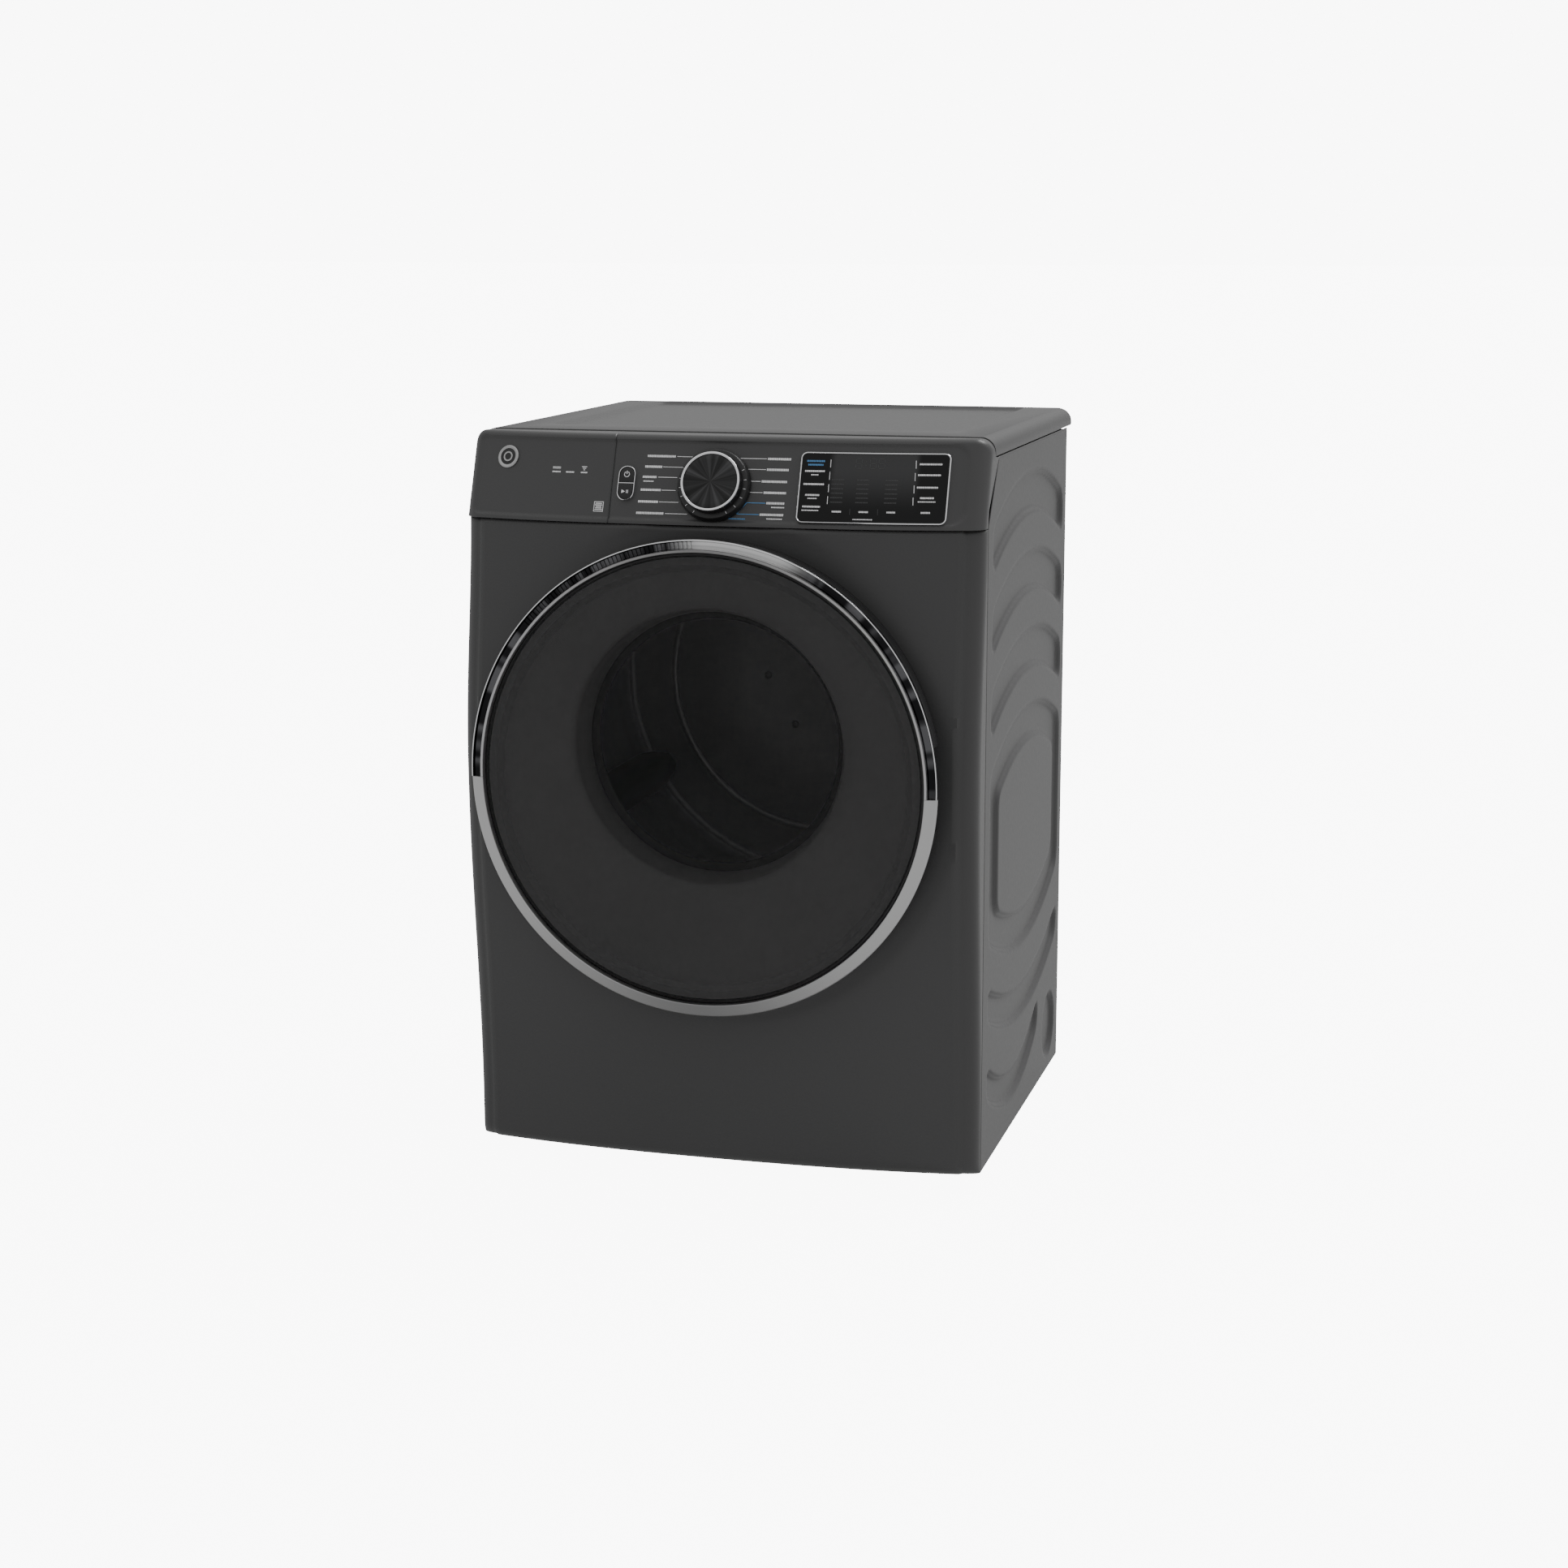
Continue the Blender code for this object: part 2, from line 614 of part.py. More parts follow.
def console():
    right = console_part("console_fascia", SPLIT_X, HALF, 1)
    console_part("console_side_cover", -HALF, SPLIT_X - SEAM, -1)
    width, height = DISPLAY_SIZE
    window = wrap(slab(rounded(width - 0.006, height - 0.006, 0.006), -0.02, 0.02), DISPLAY_X, DIAL_UP)
    stem = bore_at(0.0075, (0, DIAL_UP), -0.03, 0.03)
    pill = wrap(slab(rounded(PILL_SIZE[0] - 0.004, PILL_SIZE[1] - 0.004, 0.0095), -0.02, 0.02, 3),
                PILL_X, DIAL_UP)
    cut(right, window, stem, pill)

    frame = wrap(slab(rounded(width, height, 0.009), 0.0003, 0.0032), DISPLAY_X, DIAL_UP)
    hole = wrap(slab(rounded(width - 0.007, height - 0.007, 0.006), -0.01, 0.01), DISPLAY_X, DIAL_UP)
    cut(add("display_frame", frame, CHROME), hole)
    lens = wrap(slab(rounded(width - 0.0078, height - 0.0078, 0.0058), -0.0016, 0.0016), DISPLAY_X, DIAL_UP)
    add("display_lens", lens, GLASS)
    board = slab(rounded(width - 0.02, height - 0.012, 0.002, steps=1), -0.0140, -0.0124)
    add("control_board", wrap(board, DISPLAY_X, DIAL_UP), BOARD)


def bore_at(radius, place, low, high, steps=16):
    """A round tool standing on the console face at place, given as (x, up)."""
    bm = prism(circle(radius, (0, 0), steps), "XY", low, high)
    bm.transform(face_frame(*place))
    return bm


def on_face(name, bm, mat, x, up, moving=False):
    """Place a piece made about its own Z on the console's face."""
    frame = face_frame(x, up)
    if not moving:
        bm.transform(frame)
        return add(name, bm, mat)
    pivot = empty(f"{name}_pivot", (0, 0, 0), CABINET)
    pivot.matrix_local = frame
    return add(name, bm, mat, pivot, local=True)


def turned(profile, steps=32):
    """A turned piece about Z from (radius, z) points."""
    bm = lathe(profile, (0, 0), steps)
    bmesh.ops.rotate(bm, cent=(0, 0, 0), matrix=Matrix.Rotation(math.pi / 2, 3, "X"), verts=bm.verts)
    return bm


def controls():
    skirt = [(0.0085, 0.0006), (SKIRT_R, 0.0006), (SKIRT_R - 0.001, 0.005), (SKIRT_R - 0.006, 0.008),
             (0.0085, 0.008)]
    on_face("dial_skirt", turned(skirt, 40), BLACK, 0, DIAL_UP)
    knob = [(0, -0.012), (0.0065, -0.012), (0.0065, 0.0086), (KNOB_R, 0.0086), (KNOB_R, KNOB_RISE - 0.002),
            (KNOB_R - 0.002, KNOB_RISE), (KNOB_R - 0.006, KNOB_RISE), (KNOB_R - 0.008, KNOB_RISE - 0.002),
            (0, KNOB_RISE - 0.002)]
    on_face("cycle_knob", turned(knob, 40), CHROME, 0, DIAL_UP, moving=True)
    width, height = PILL_SIZE
    surround = prism(rounded(width, height, width / 2 - 0.0005), "XY", 0.0006, 0.0026)
    hole = prism(rounded(width - 0.0044, height - 0.0044, width / 2 - 0.0027), "XY", -0.01, 0.01)
    item = on_face("button_surround", surround, CHROME, PILL_X, DIAL_UP)
    hole.transform(face_frame(PILL_X, DIAL_UP))
    cut(item, hole)
    inner = rounded(width - 0.0056, height - 0.0056, width / 2 - 0.0033)
    for name, sign in (("power_button", 1), ("start_button", -1)):
        half = [(px, max(py * sign, 0.0004) * sign) for px, py in inner]
        outline = list(dict.fromkeys(half))
        keys = [p for p in outline if abs(p[1]) > 0.0005]
        limit = (width - 0.0056) / 2
        corners = [(-limit, 0.0004 * sign), (limit, 0.0004 * sign)]
        ordered = sorted(keys, key=lambda p: -math.atan2(p[1] * sign, p[0]))
        line = [corners[0]] + ordered + [corners[1]]
        on_face(name, prism(line, "XY", -0.004, 0.0022), BLACK, PILL_X, DIAL_UP, moving=True)


# ---------------------------------------------------------------- door

DOOR = empty("door_pivot", (HINGE_X, HINGE_Y, DOOR_Z), CABINET)
FUNNEL_R = 0.2835
PORT_R = PLUG_R - 0.014


def door():
    middle = (0, DOOR_Z)
    r = DOOR_SHELL_R
    shell_line = [(r, -0.1125), (r, DOOR_BACK_Y - 0.006), (r - 0.006, DOOR_BACK_Y), (0.2350, DOOR_BACK_Y),
                  (0.2350, DOOR_BACK_Y - 0.0018), (r - 0.0072, DOOR_BACK_Y - 0.0018),
                  (r - 0.0018, DOOR_BACK_Y - 0.0068), (r - 0.0018, -0.1090), (0.2860, -0.1090),
                  (0.2860, -0.1150), (0.2990, -0.1150), (0.2990, -0.1125)]
    item = add("door_shell", lathe(shell_line, middle, 48), BLACK, DOOR)
    cut(item, box((0.243, -0.1078, DOOR_Z - 0.056), (0.340, -0.05, DOOR_Z + 0.056)))

    back, out, inner = RING_BACK_Y, RING_R, RING_IN_R
    band_line = [(out - 0.0008, back), (out, back - 0.002), (out, back - 0.0047), (out - 0.0015, back - 0.0067),
                 (inner + 0.001, back - 0.0117), (inner, back - 0.0107), (inner, back)]
    gap = 0.0012
    add("door_lower_band", lathe(band_line, middle, 28, (math.pi + gap, math.tau - gap)), SATIN, DOOR)
    grip_line = [(out - 0.0008, back), (out, back - 0.002), (out, back - 0.0067), (out - 0.001, back - 0.0077),
                 (out - 0.002, back - 0.0067), (out - 0.003, back - 0.0025), (inner + 0.0045, back - 0.0030),
                 (inner + 0.0035, back - 0.0112), (inner + 0.001, back - 0.0117), (inner, back - 0.0107),
                 (inner, back)]
    add("door_grip_trim", lathe(grip_line, middle, 28, (gap, math.pi - gap)), CHROME, DOOR)

    dome = [(0, WINDOW_Y), (0.10, WINDOW_Y + 0.0006), (0.20, WINDOW_Y + 0.0028), (0.27, WINDOW_Y + 0.0056),
            (WINDOW_R - 0.001, WINDOW_Y + 0.0072), (WINDOW_R, WINDOW_Y + 0.0080), (WINDOW_R, -0.1155),
            (0.27, -0.1155), (0.20, WINDOW_Y + 0.0068), (0.10, WINDOW_Y + 0.0046), (0, WINDOW_Y + 0.0040)]
    add("door_window", lathe(dome, middle, 48), GLASS, DOOR)

    rings = 7
    columns = []
    for k in range(rings + 1):
        t = k / (rings - 1)
        y = -0.1086 + 0.0320 * t
        radius = PORT_R + 0.007 + (FUNNEL_R - PORT_R - 0.007) * (1 - t) ** 2.4
        z = DRUM_Z + (DOOR_Z - DRUM_Z) * (1 - t) ** 2
        if k == rings:
            y, radius, z = -0.0380, PORT_R, DRUM_Z
        columns.append([(radius * math.cos(math.tau * a / 40), y, z + radius * math.sin(math.tau * a / 40))
                        for a in range(41)])
    bm, grid = surface(columns)
    bmesh.ops.remove_doubles(bm, verts=bm.verts, dist=1e-5)
    for vert in bm.verts:
        vert.co -= DOOR.location
    bmesh.ops.recalc_face_normals(bm, faces=bm.faces)
    bm.normal_update()
    spread = sum(f.normal.dot(f.calc_center_median() + DOOR.location - Vector((0, 0, DRUM_Z))) * f.calc_area()
                 for f in bm.faces)
    if spread > 0:
        bmesh.ops.reverse_faces(bm, faces=bm.faces)
    mesh = bpy.data.meshes.new("door_funnel")
    bm.to_mesh(mesh)
    bm.free()
    mesh.materials.append(GREY)
    mesh.shade_smooth()
    funnel = bpy.data.objects.new("door_funnel", mesh)
    funnel.parent = DOOR
    bpy.context.scene.collection.objects.link(funnel)
    shell(funnel, 0.0018)

    flange = DOOR_BACK_Y - 0.0025
    item = add("door_inner_panel", prism(circle(0.2343, middle, 48), "XZ", flange, DOOR_BACK_Y), GREY, DOOR)
    join(item, bore(PLUG_R, (0, DRUM_Z), flange, PLUG_BACK_Y, 48))
    cut(item, bore(PLUG_R - 0.0025, (0, DRUM_Z), flange - 0.02, PLUG_BACK_Y - 0.0025, 48),
        bore(PLUG_R - 0.024, (0, DRUM_Z), flange, PLUG_BACK_Y + 0.01, 48))
    glass = prism(circle(PLUG_R - 0.0032, (0, DRUM_Z), 48), "XZ", -0.0365, PLUG_BACK_Y - 0.003)
    add("door_inner_glass", glass, GLASS, DOOR)

    hook = [(-0.0697, -0.012), (-0.0500, -0.012), (-0.0460, -0.008), (-0.0460, 0.008), (-0.0500, 0.012),
            (-0.0697, 0.012)]
    outline = [(y + DOOR_BACK_Y + 0.070, z + DOOR_Z) for y, z in hook]
    add("door_strike", prism(outline, "YZ", -0.288, -0.282), STEEL, DOOR)


def hinge():
    x, y = HINGE_X, HINGE_Y
    pin = prism(circle(0.003, (x, y), 12), "XY", DOOR_Z - 0.0535, DOOR_Z + 0.0535)
    add("hinge_pin", pin, STEEL, DOOR)
    leaf = add("hinge_leaf", box((x - 0.014, -0.1085, DOOR_Z - 0.0535), (x + 0.004, y - 0.0085, DOOR_Z + 0.0535)),
               STEEL, DOOR)
    for sign in (-1, 1):
        lug = box((x - 0.0065, -0.107, DOOR_Z + sign * 0.0505 - 0.003), (x + 0.006, y + 0.006, DOOR_Z + sign * 0.0505 + 0.003))
        join(leaf, lug)
    cut(leaf, prism(circle(0.003 + CLEAR, (x, y), 12), "XY", DOOR_Z - 0.07, DOOR_Z + 0.07))
    base_y = LAND_Y - CLEAR
    neck = [(x - 0.054, base_y), (x - 0.054, base_y - 0.003), (x - 0.041, base_y - 0.003),
            (x - 0.0045, y - 0.004), (x, y - 0.006), (x + 0.0055, y - 0.002), (x + 0.005, y + 0.004),
            (x - 0.030, base_y)]
    bracket = add("hinge_bracket", prism(neck, "XY", DOOR_Z - 0.046, DOOR_Z + 0.046), STEEL)
    cut(bracket, prism(circle(0.003 + CLEAR, (x, y), 12), "XY", DOOR_Z - 0.07, DOOR_Z + 0.07),
        box((x - 0.036, y - 0.02, DOOR_Z - 0.028), (x + 0.02, base_y + 0.01, DOOR_Z + 0.028)))


def latch_and_switch():
    low = LAND_Y + SHEET + CLEAR
    item = add("door_catch", box((-0.301, low, DOOR_Z - 0.024), (-0.250, low + 0.032, DOOR_Z + 0.092)), BLACK)
    pocket = box((-0.295, low - 0.01, DOOR_Z - 0.0155), (-0.275, low + 0.024, DOOR_Z + 0.0155))
    cut(item, pocket, bore(0.0053, (-0.262, DOOR_Z + 0.082), low - 0.01, low + 0.026, 12))
    pivot = empty("switch_pivot", (-0.262, DOOR_BACK_Y, DOOR_Z + 0.082), CABINET)
    plunger = prism(circle(0.0045, (-0.262, DOOR_Z + 0.082), 12), "XZ", DOOR_BACK_Y + 0.0004, low + 0.018)
    add("switch_plunger", plunger, BLACK, pivot)


# ---------------------------------------------------------------- drum and its air path

DRUM = empty("drum_pivot", (0, 0, DRUM_Z), CABINET)


def throat():
    inner, outer = THROAT_R, THROAT_R + THROAT_WALL
    flange = LAND_Y + SHEET + CLEAR
    profile = [(inner, LAND_Y - 0.001), (outer, LAND_Y - 0.001), (outer, flange), (outer + 0.020, flange),
               (outer + 0.020, flange + 0.002), (outer, flange + 0.002), (outer, DRUM_FRONT_Y + 0.008),
               (inner, DRUM_FRONT_Y + 0.008)]
    item = add("drum_throat", lathe(profile, (0, DRUM_Z), 48), GREY)
    cut(item, box((-0.0985, -0.0148, DRUM_Z - THROAT_R - 0.03), (0.0985, 0.0048, DRUM_Z - 0.16)))
    gasket = [(THROAT_R + out, y) for out, y in (
        (0.0085, LAND_Y - CLEAR), (0.0085, DOOR_BACK_Y + 0.0016), (0.0115, DOOR_BACK_Y + 0.0005),
        (0.0175, DOOR_BACK_Y + 0.0005), (0.0205, DOOR_BACK_Y + 0.0016), (0.0205, LAND_Y - CLEAR))]
    add("door_gasket", lathe(gasket, (0, DRUM_Z), 48), RUBBER)


def drum():
    front, back, r = DRUM_FRONT_Y, DRUM_BACK_Y, DRUM_R
    wall = SHEET
    outside = [(DRUM_LIP_R, front), (r - 0.010, front), (r, front + 0.010), (r, back - 0.010), (r - 0.010, back),
               (0, back)]
    inside = [(0, back - wall), (r - 0.0106, back - wall), (r - wall, back - 0.0106), (r - wall, front + 0.0106),
              (r - 0.0106, front + wall), (DRUM_LIP_R, front + wall)]
    bm = lathe_shell(outside + inside, (0, DRUM_Z), 48)
    add("drum", bm, STEEL, DRUM)
    base = (r - wall) * math.cos(math.pi / 48) - 0.0022
    for k in range(BAFFLES):
        a = math.radians(90 + 360 / BAFFLES * k)
        outline = [(-0.032, base), (-0.022, base - BAFFLE_RISE * 0.6), (-0.008, base - BAFFLE_RISE),
                   (0.008, base - BAFFLE_RISE), (0.022, base - BAFFLE_RISE * 0.6), (0.032, base)]
        turn = Matrix.Rotation(a - math.pi / 2, 2)
        inside = [(-0.0285, base), (-0.0192, base - BAFFLE_RISE * 0.58), (-0.006, base - BAFFLE_RISE + 0.003),
                  (0.006, base - BAFFLE_RISE + 0.003), (0.0192, base - BAFFLE_RISE * 0.58), (0.0285, base)]
        points = [turn @ Vector(p) for p in outline + inside[::-1]]
        placed = [(p.x, p.y + DRUM_Z) for p in points]
        add(f"drum_baffle_{k + 1}", prism(placed, "XZ", front + 0.02, back - 0.02), GREY, DRUM)
    shaft = [(0, back + CLEAR), (0.030, back + CLEAR), (0.030, back + 0.0035), (0.009, back + 0.0045),
             (0.009, REAR_BULKHEAD_Y + 0.015), (0, REAR_BULKHEAD_Y + 0.015)]
    add("drum_shaft", lathe(shaft, (0, DRUM_Z), 20), STEEL, DRUM)
    near = REAR_BULKHEAD_Y
    bearing = [(0.0094, near - 0.004), (0.0155, near - 0.004), (0.0192, near - CLEAR), (0.0192, near + SHEET + CLEAR),
               (0.027, near + SHEET + CLEAR), (0.027, near + 0.005), (0.0094, near + 0.011)]
    add("drum_bearing", lathe(bearing, (0, DRUM_Z), 20), STEEL)


def lathe_shell(profile, centre, steps):
    """A turned cup whose profile touches the axis twice in its middle."""
    bm = bmesh.new()
    rows = []
    for radius, y in profile:
        if radius == 0:
            rows.append([bm.verts.new((centre[0], y, centre[1]))])
            continue
        rows.append([bm.verts.new((centre[0] + radius * math.cos(math.tau * k / steps), y,
                                   centre[1] + radius * math.sin(math.tau * k / steps)))
                     for k in range(steps)])
    for near, far in zip(rows, rows[1:] + rows[:1]):
        if len(near) == len(far) == 1:
            continue
        for k in range(steps):
            n = (k + 1) % steps
            corners = [near[k % len(near)], near[n % len(near)], far[n % len(far)], far[k % len(far)]]
            bm.faces.new(list(dict.fromkeys(corners)))
    return bm


def roller_places():
    reach = DRUM_R + ROLLER_R + CLEAR
    return [(side * reach * math.sin(ROLLER_ANGLE), DRUM_Z - reach * math.cos(ROLLER_ANGLE)) for side in (-1, 1)]


def rollers():
    front = DRUM_FRONT_Y + 0.012
    for name, (x, z) in zip(("left", "right"), roller_places()):
        axle = [(0, 0.010), (0.009, 0.010), (0.009, FRONT_BULKHEAD_Y - CLEAR), (SHAFT_R, FRONT_BULKHEAD_Y - CLEAR),
                (SHAFT_R, front + 0.026), (0, front + 0.026)]
        add(f"roller_axle_{name}", lathe(axle, (x, z), 12), STEEL)
        pivot = empty(f"roller_{name}_pivot", (x, 0, z), CABINET)
        wheel = [(SHAFT_R + CLEAR, front), (ROLLER_R - 0.001, front), (ROLLER_R, front + 0.001),
                 (ROLLER_R, front + 0.019), (ROLLER_R - 0.001, front + 0.020), (SHAFT_R + CLEAR, front + 0.020)]
        add(f"roller_{name}", lathe(wheel, (x, z), 24), RUBBER, pivot)


def belt_path(gap, steps=40):
    """The belt's loop at a distance from the drum and the pulley, as a closed outline."""
    big, small = DRUM_R + gap + 0.0008, PULLEY_R + gap
    dx, dz = MOTOR_X, MOTOR_Z - DRUM_Z
    reach = math.hypot(dx, dz)
    heading = math.atan2(dz, dx)
    lean = math.acos((big - small) / reach)
    points = []
    for k in range(steps + 1):
        a = heading + lean + (math.tau - 2 * lean) * k / steps
        points.append((big * math.cos(a), DRUM_Z + big * math.sin(a)))
    for k in range(9):
        a = heading - lean + 2 * lean * k / 8
        points.append((MOTOR_X + small * math.cos(a), MOTOR_Z + small * math.sin(a)))
    return points


def belt():
    bm = bmesh.new()
    loops = []
    low, high = BELT_Y - BELT_WIDTH / 2, BELT_Y + BELT_WIDTH / 2
    for gap, y in ((CLEAR, low), (CLEAR + BELT_THICK, low), (CLEAR + BELT_THICK, high), (CLEAR, high)):
        loops.append([bm.verts.new((x, y, z)) for x, z in belt_path(gap)])
    count = len(loops[0])
    for near, far in zip(loops, loops[1:] + loops[:1]):
        for k in range(count):
            n = (k + 1) % count
            bm.faces.new((near[k], near[n], far[n], far[k]))
    add("drive_belt", bm, RUBBER)


MOTOR = empty("motor_pivot", (MOTOR_X, 0, MOTOR_Z), CABINET)
BLOWER_FRONT_Y = 0.0450
BLOWER_BACK_Y = 0.125


def drive():
    place = (MOTOR_X, MOTOR_Z)
    body = [(SHAFT_R + CLEAR, 0.160), (0.018, 0.160), (0.020, 0.170), (MOTOR_R - 0.008, 0.172), (MOTOR_R, 0.182),
            (MOTOR_R, 0.308), (MOTOR_R - 0.008, 0.318), (0.020, 0.320), (0.018, 0.330), (SHAFT_R + CLEAR, 0.330)]
    add("motor", lathe(body, place, 28), STEEL)
    low, high = BELT_Y - BELT_WIDTH / 2 - 0.002, BELT_Y + BELT_WIDTH / 2 + 0.002
    shaft = [(0, 0.070), (SHAFT_R, 0.070), (SHAFT_R, low), (PULLEY_R + 0.003, low), (PULLEY_R + 0.003, low + 0.0015),
             (PULLEY_R, low + 0.0015), (PULLEY_R, high - 0.0015), (PULLEY_R + 0.003, high - 0.0015),
             (PULLEY_R + 0.003, high), (SHAFT_R, high), (SHAFT_R, high + 0.006), (0, high + 0.006)]
    add("motor_shaft", lathe(shaft, place, 20), STEEL, MOTOR)

    blades = 18
    star = []
    for k in range(blades):
        for radius, turn in ((0.030, -0.30), (WHEEL_R, -0.055), (WHEEL_R, 0.055), (0.030, 0.30)):
            a = math.tau * (k + turn / 1.0 * (1 if radius > 0.05 else 0.5)) / blades
            star.append((place[0] + radius * math.cos(a), place[1] + radius * math.sin(a)))
    wheel = add("blower_wheel", prism(star, "XZ", 0.058, 0.112), GREY, MOTOR)
    join(wheel, bore(WHEEL_R, place, 0.111, 0.114, 36))
    cut(wheel, bore(SHAFT_R + CLEAR, place, 0.05, 0.12, 16))

    low, high, wall = BLOWER_FRONT_Y, BLOWER_BACK_Y, 0.002
    x0, x1, z0, z1 = DUCT_X - 0.055, MOTOR_X, 0.0335, DUCT_Z + 0.055
    item = add("blower_housing", bore(BLOWER_R, place, low, high, 40), GREY)
    join(item, box((x0, low, z0), (x1, high, z1)))
    cut(item, bore(BLOWER_R - wall, place, low + wall, high - wall, 40),
        box((x0 + wall, low + wall, z0 + wall), (x1, high - wall, z1 - wall)),
        bore(0.060, place, low - 0.01, low + 0.01, 32), bore(0.010, place, high - 0.01, high + 0.01, 12),
        bore(DUCT_R - 0.0015, (DUCT_X, DUCT_Z), high - 0.01, high + 0.01, 32))
    duct = [(DUCT_R, high + CLEAR), (DUCT_R, REAR_REACH - 0.010), (DUCT_R - 0.001, REAR_REACH - 0.010),
            (DUCT_R - 0.001, high + CLEAR)]
    add("exhaust_duct", lathe(duct, (DUCT_X, DUCT_Z), 32), STEEL)

    x, z = MOTOR_X, MOTOR_Z
    cradle = [(x - 0.060, FLOOR_Z), (x + 0.060, FLOOR_Z), (x + 0.060, FLOOR_Z + 0.003), (x + 0.052, FLOOR_Z + 0.003),
              (x + 0.052, z - 0.030), (x - 0.052, z - 0.030), (x - 0.052, FLOOR_Z + 0.003), (x - 0.060, FLOOR_Z + 0.003)]
    mount = add("motor_mount", prism(cradle, "XZ", 0.20, 0.29), STEEL)
    px, pz = IDLER_PIVOT
    post_y = BELT_Y + 0.0115
    join(mount, box((px - 0.014, 0.275, FLOOR_Z), (x - 0.020, post_y + 0.030, FLOOR_Z + 0.003)),
         box((px - 0.014, post_y, FLOOR_Z + 0.001), (px + 0.014, post_y + 0.003, pz + 0.012)),
         bore(0.004, (px, pz), post_y - 0.0045, post_y + 0.001, 12))
    cut(mount, bore(MOTOR_R + CLEAR, place, 0.19, 0.30, 28),
        box((x - 0.049, 0.190, FLOOR_Z - 0.01), (x + 0.049, 0.274, z - MOTOR_R - 0.005)))


def idler():
    """The arm's pulley rests on the belt's left run; the arm turns about its post."""
    big, small = DRUM_R + CLEAR + BELT_THICK + 0.0008, PULLEY_R + CLEAR + BELT_THICK
    dx, dz = MOTOR_X, MOTOR_Z - DRUM_Z
    lean = math.acos((big - small) / math.hypot(dx, dz))
    a = math.atan2(dz, dx) - lean
    normal = Vector((math.cos(a), math.sin(a)))
    on_drum = Vector((0, DRUM_Z)) + normal * big
    on_pulley = Vector((MOTOR_X, MOTOR_Z)) + normal * small
    touch = on_drum.lerp(on_pulley, 0.65)
    centre = touch + normal * (IDLER_R + CLEAR)
    px, pz = IDLER_PIVOT
    low, high = BELT_Y - 0.007, BELT_Y + 0.007
    arm_pivot = empty("idler_arm_pivot", (px, 0, pz), CABINET)
    reach = Vector((centre.x - px, centre.y - pz))
    side = Vector((-reach.y, reach.x)).normalized() * 0.008
    ends = []
    for base, start in ((Vector((centre.x, centre.y)), -90), (Vector((px, pz)), 90)):
        for k in range(5):
            angle = math.atan2(reach.y, reach.x) + math.radians(start + 45 * k)
            ends.append((base.x + 0.010 * math.cos(angle), base.y + 0.010 * math.sin(angle)))
    arm = add("idler_arm", prism(ends, "XZ", high + 0.001, high + 0.004), STEEL, arm_pivot)
    join(arm, bore(0.004, (centre.x, centre.y), low - 0.002, high + 0.003, 12))
    cut(arm, bore(0.0045, (px, pz), high - 0.01, high + 0.01, 12))
    wheel_pivot = empty("idler_pulley_pivot", (centre.x - px, 0, centre.y - pz), arm_pivot)
    wheel = lathe([(0.0044, low), (IDLER_R, low), (IDLER_R, high), (0.0044, high)], (0, 0), 20)
    add("idler_pulley", wheel, GREY, wheel_pivot, local=True)


LINT = empty("lint_pivot", (0, 0, DRUM_Z - THROAT_R), CABINET)


def lint():
    top = DRUM_Z - THROAT_R
    screen = add("lint_screen", box((-0.095, -0.0120, top - 0.155), (0.095, 0.0020, top + 0.004)), GREY, LINT)
    for sign in (-1, 1):
        x0, x1 = sorted((sign * 0.006, sign * 0.088))
        cut(screen, box((x0, -0.0105, top - 0.148), (x1, 0.01, top - 0.022)))
    join(screen, box((-0.030, -0.0100, top + 0.003), (0.030, -0.0020, top + 0.018)))

    out = 0.003
    low, high = -0.0155, 0.0055
    left, right, back = -0.105, MOTOR_X + 0.080, BLOWER_FRONT_Y - CLEAR
    item = add("lint_duct", box((left, low - out - 0.002, 0.045), (right, back, 0.200)), GREY)
    join(item, box((-0.100 - out, low - out, 0.150), (0.100 + out, high + out, top + 0.030)))
    cut(item, bore(THROAT_R + THROAT_WALL + CLEAR, (0, DRUM_Z), -0.05, 0.05, 48),
        box((left + out, low - 0.002, 0.048), (right - out, back - out, 0.197)),
        box((-0.100, low, 0.180), (0.100, high, top + 0.05)),
        bore(0.058, (MOTOR_X, MOTOR_Z - 0.012), 0.03, 0.06, 32))


def rear_fittings():
    low = REAR_BULKHEAD_Y + SHEET + CLEAR
    high = SIDE_DEPTH - SHEET - 0.002
    item = add("heater_housing", box((0.060, low, 0.300), (0.260, high, 0.740)), STEEL)
    cut(item, box((0.0615, low - 0.01, 0.3015), (0.2585, high - 0.0015, 0.7385)))
    y = SIDE_DEPTH + CLEAR
    cover = add("terminal_cover", box((-0.265, y, 0.800), (-0.185, y + 0.024, 0.900)), BLACK)
    bevel = cover.modifiers.new("Edges", "BEVEL")
    bevel.width = 0.003
    bevel.segments = 2
    cut(cover, box((-0.262, y - 0.01, 0.803), (-0.188, y + 0.021, 0.897)),
        prism(circle(0.0105, (-0.225, y + 0.011), 16), "XY", 0.79, 0.81))


base_pan()
feet()
for panel_name, panel_side in (("side_panel_left", -1), ("side_panel_right", 1)):
    side_panel(panel_name, panel_side)
top_panel()
rear_panel()
front_panel()
bulkheads()
console()
controls()
door()
hinge()
latch_and_switch()
throat()
drum()
rollers()
belt()
drive()
idler()
lint()
rear_fittings()
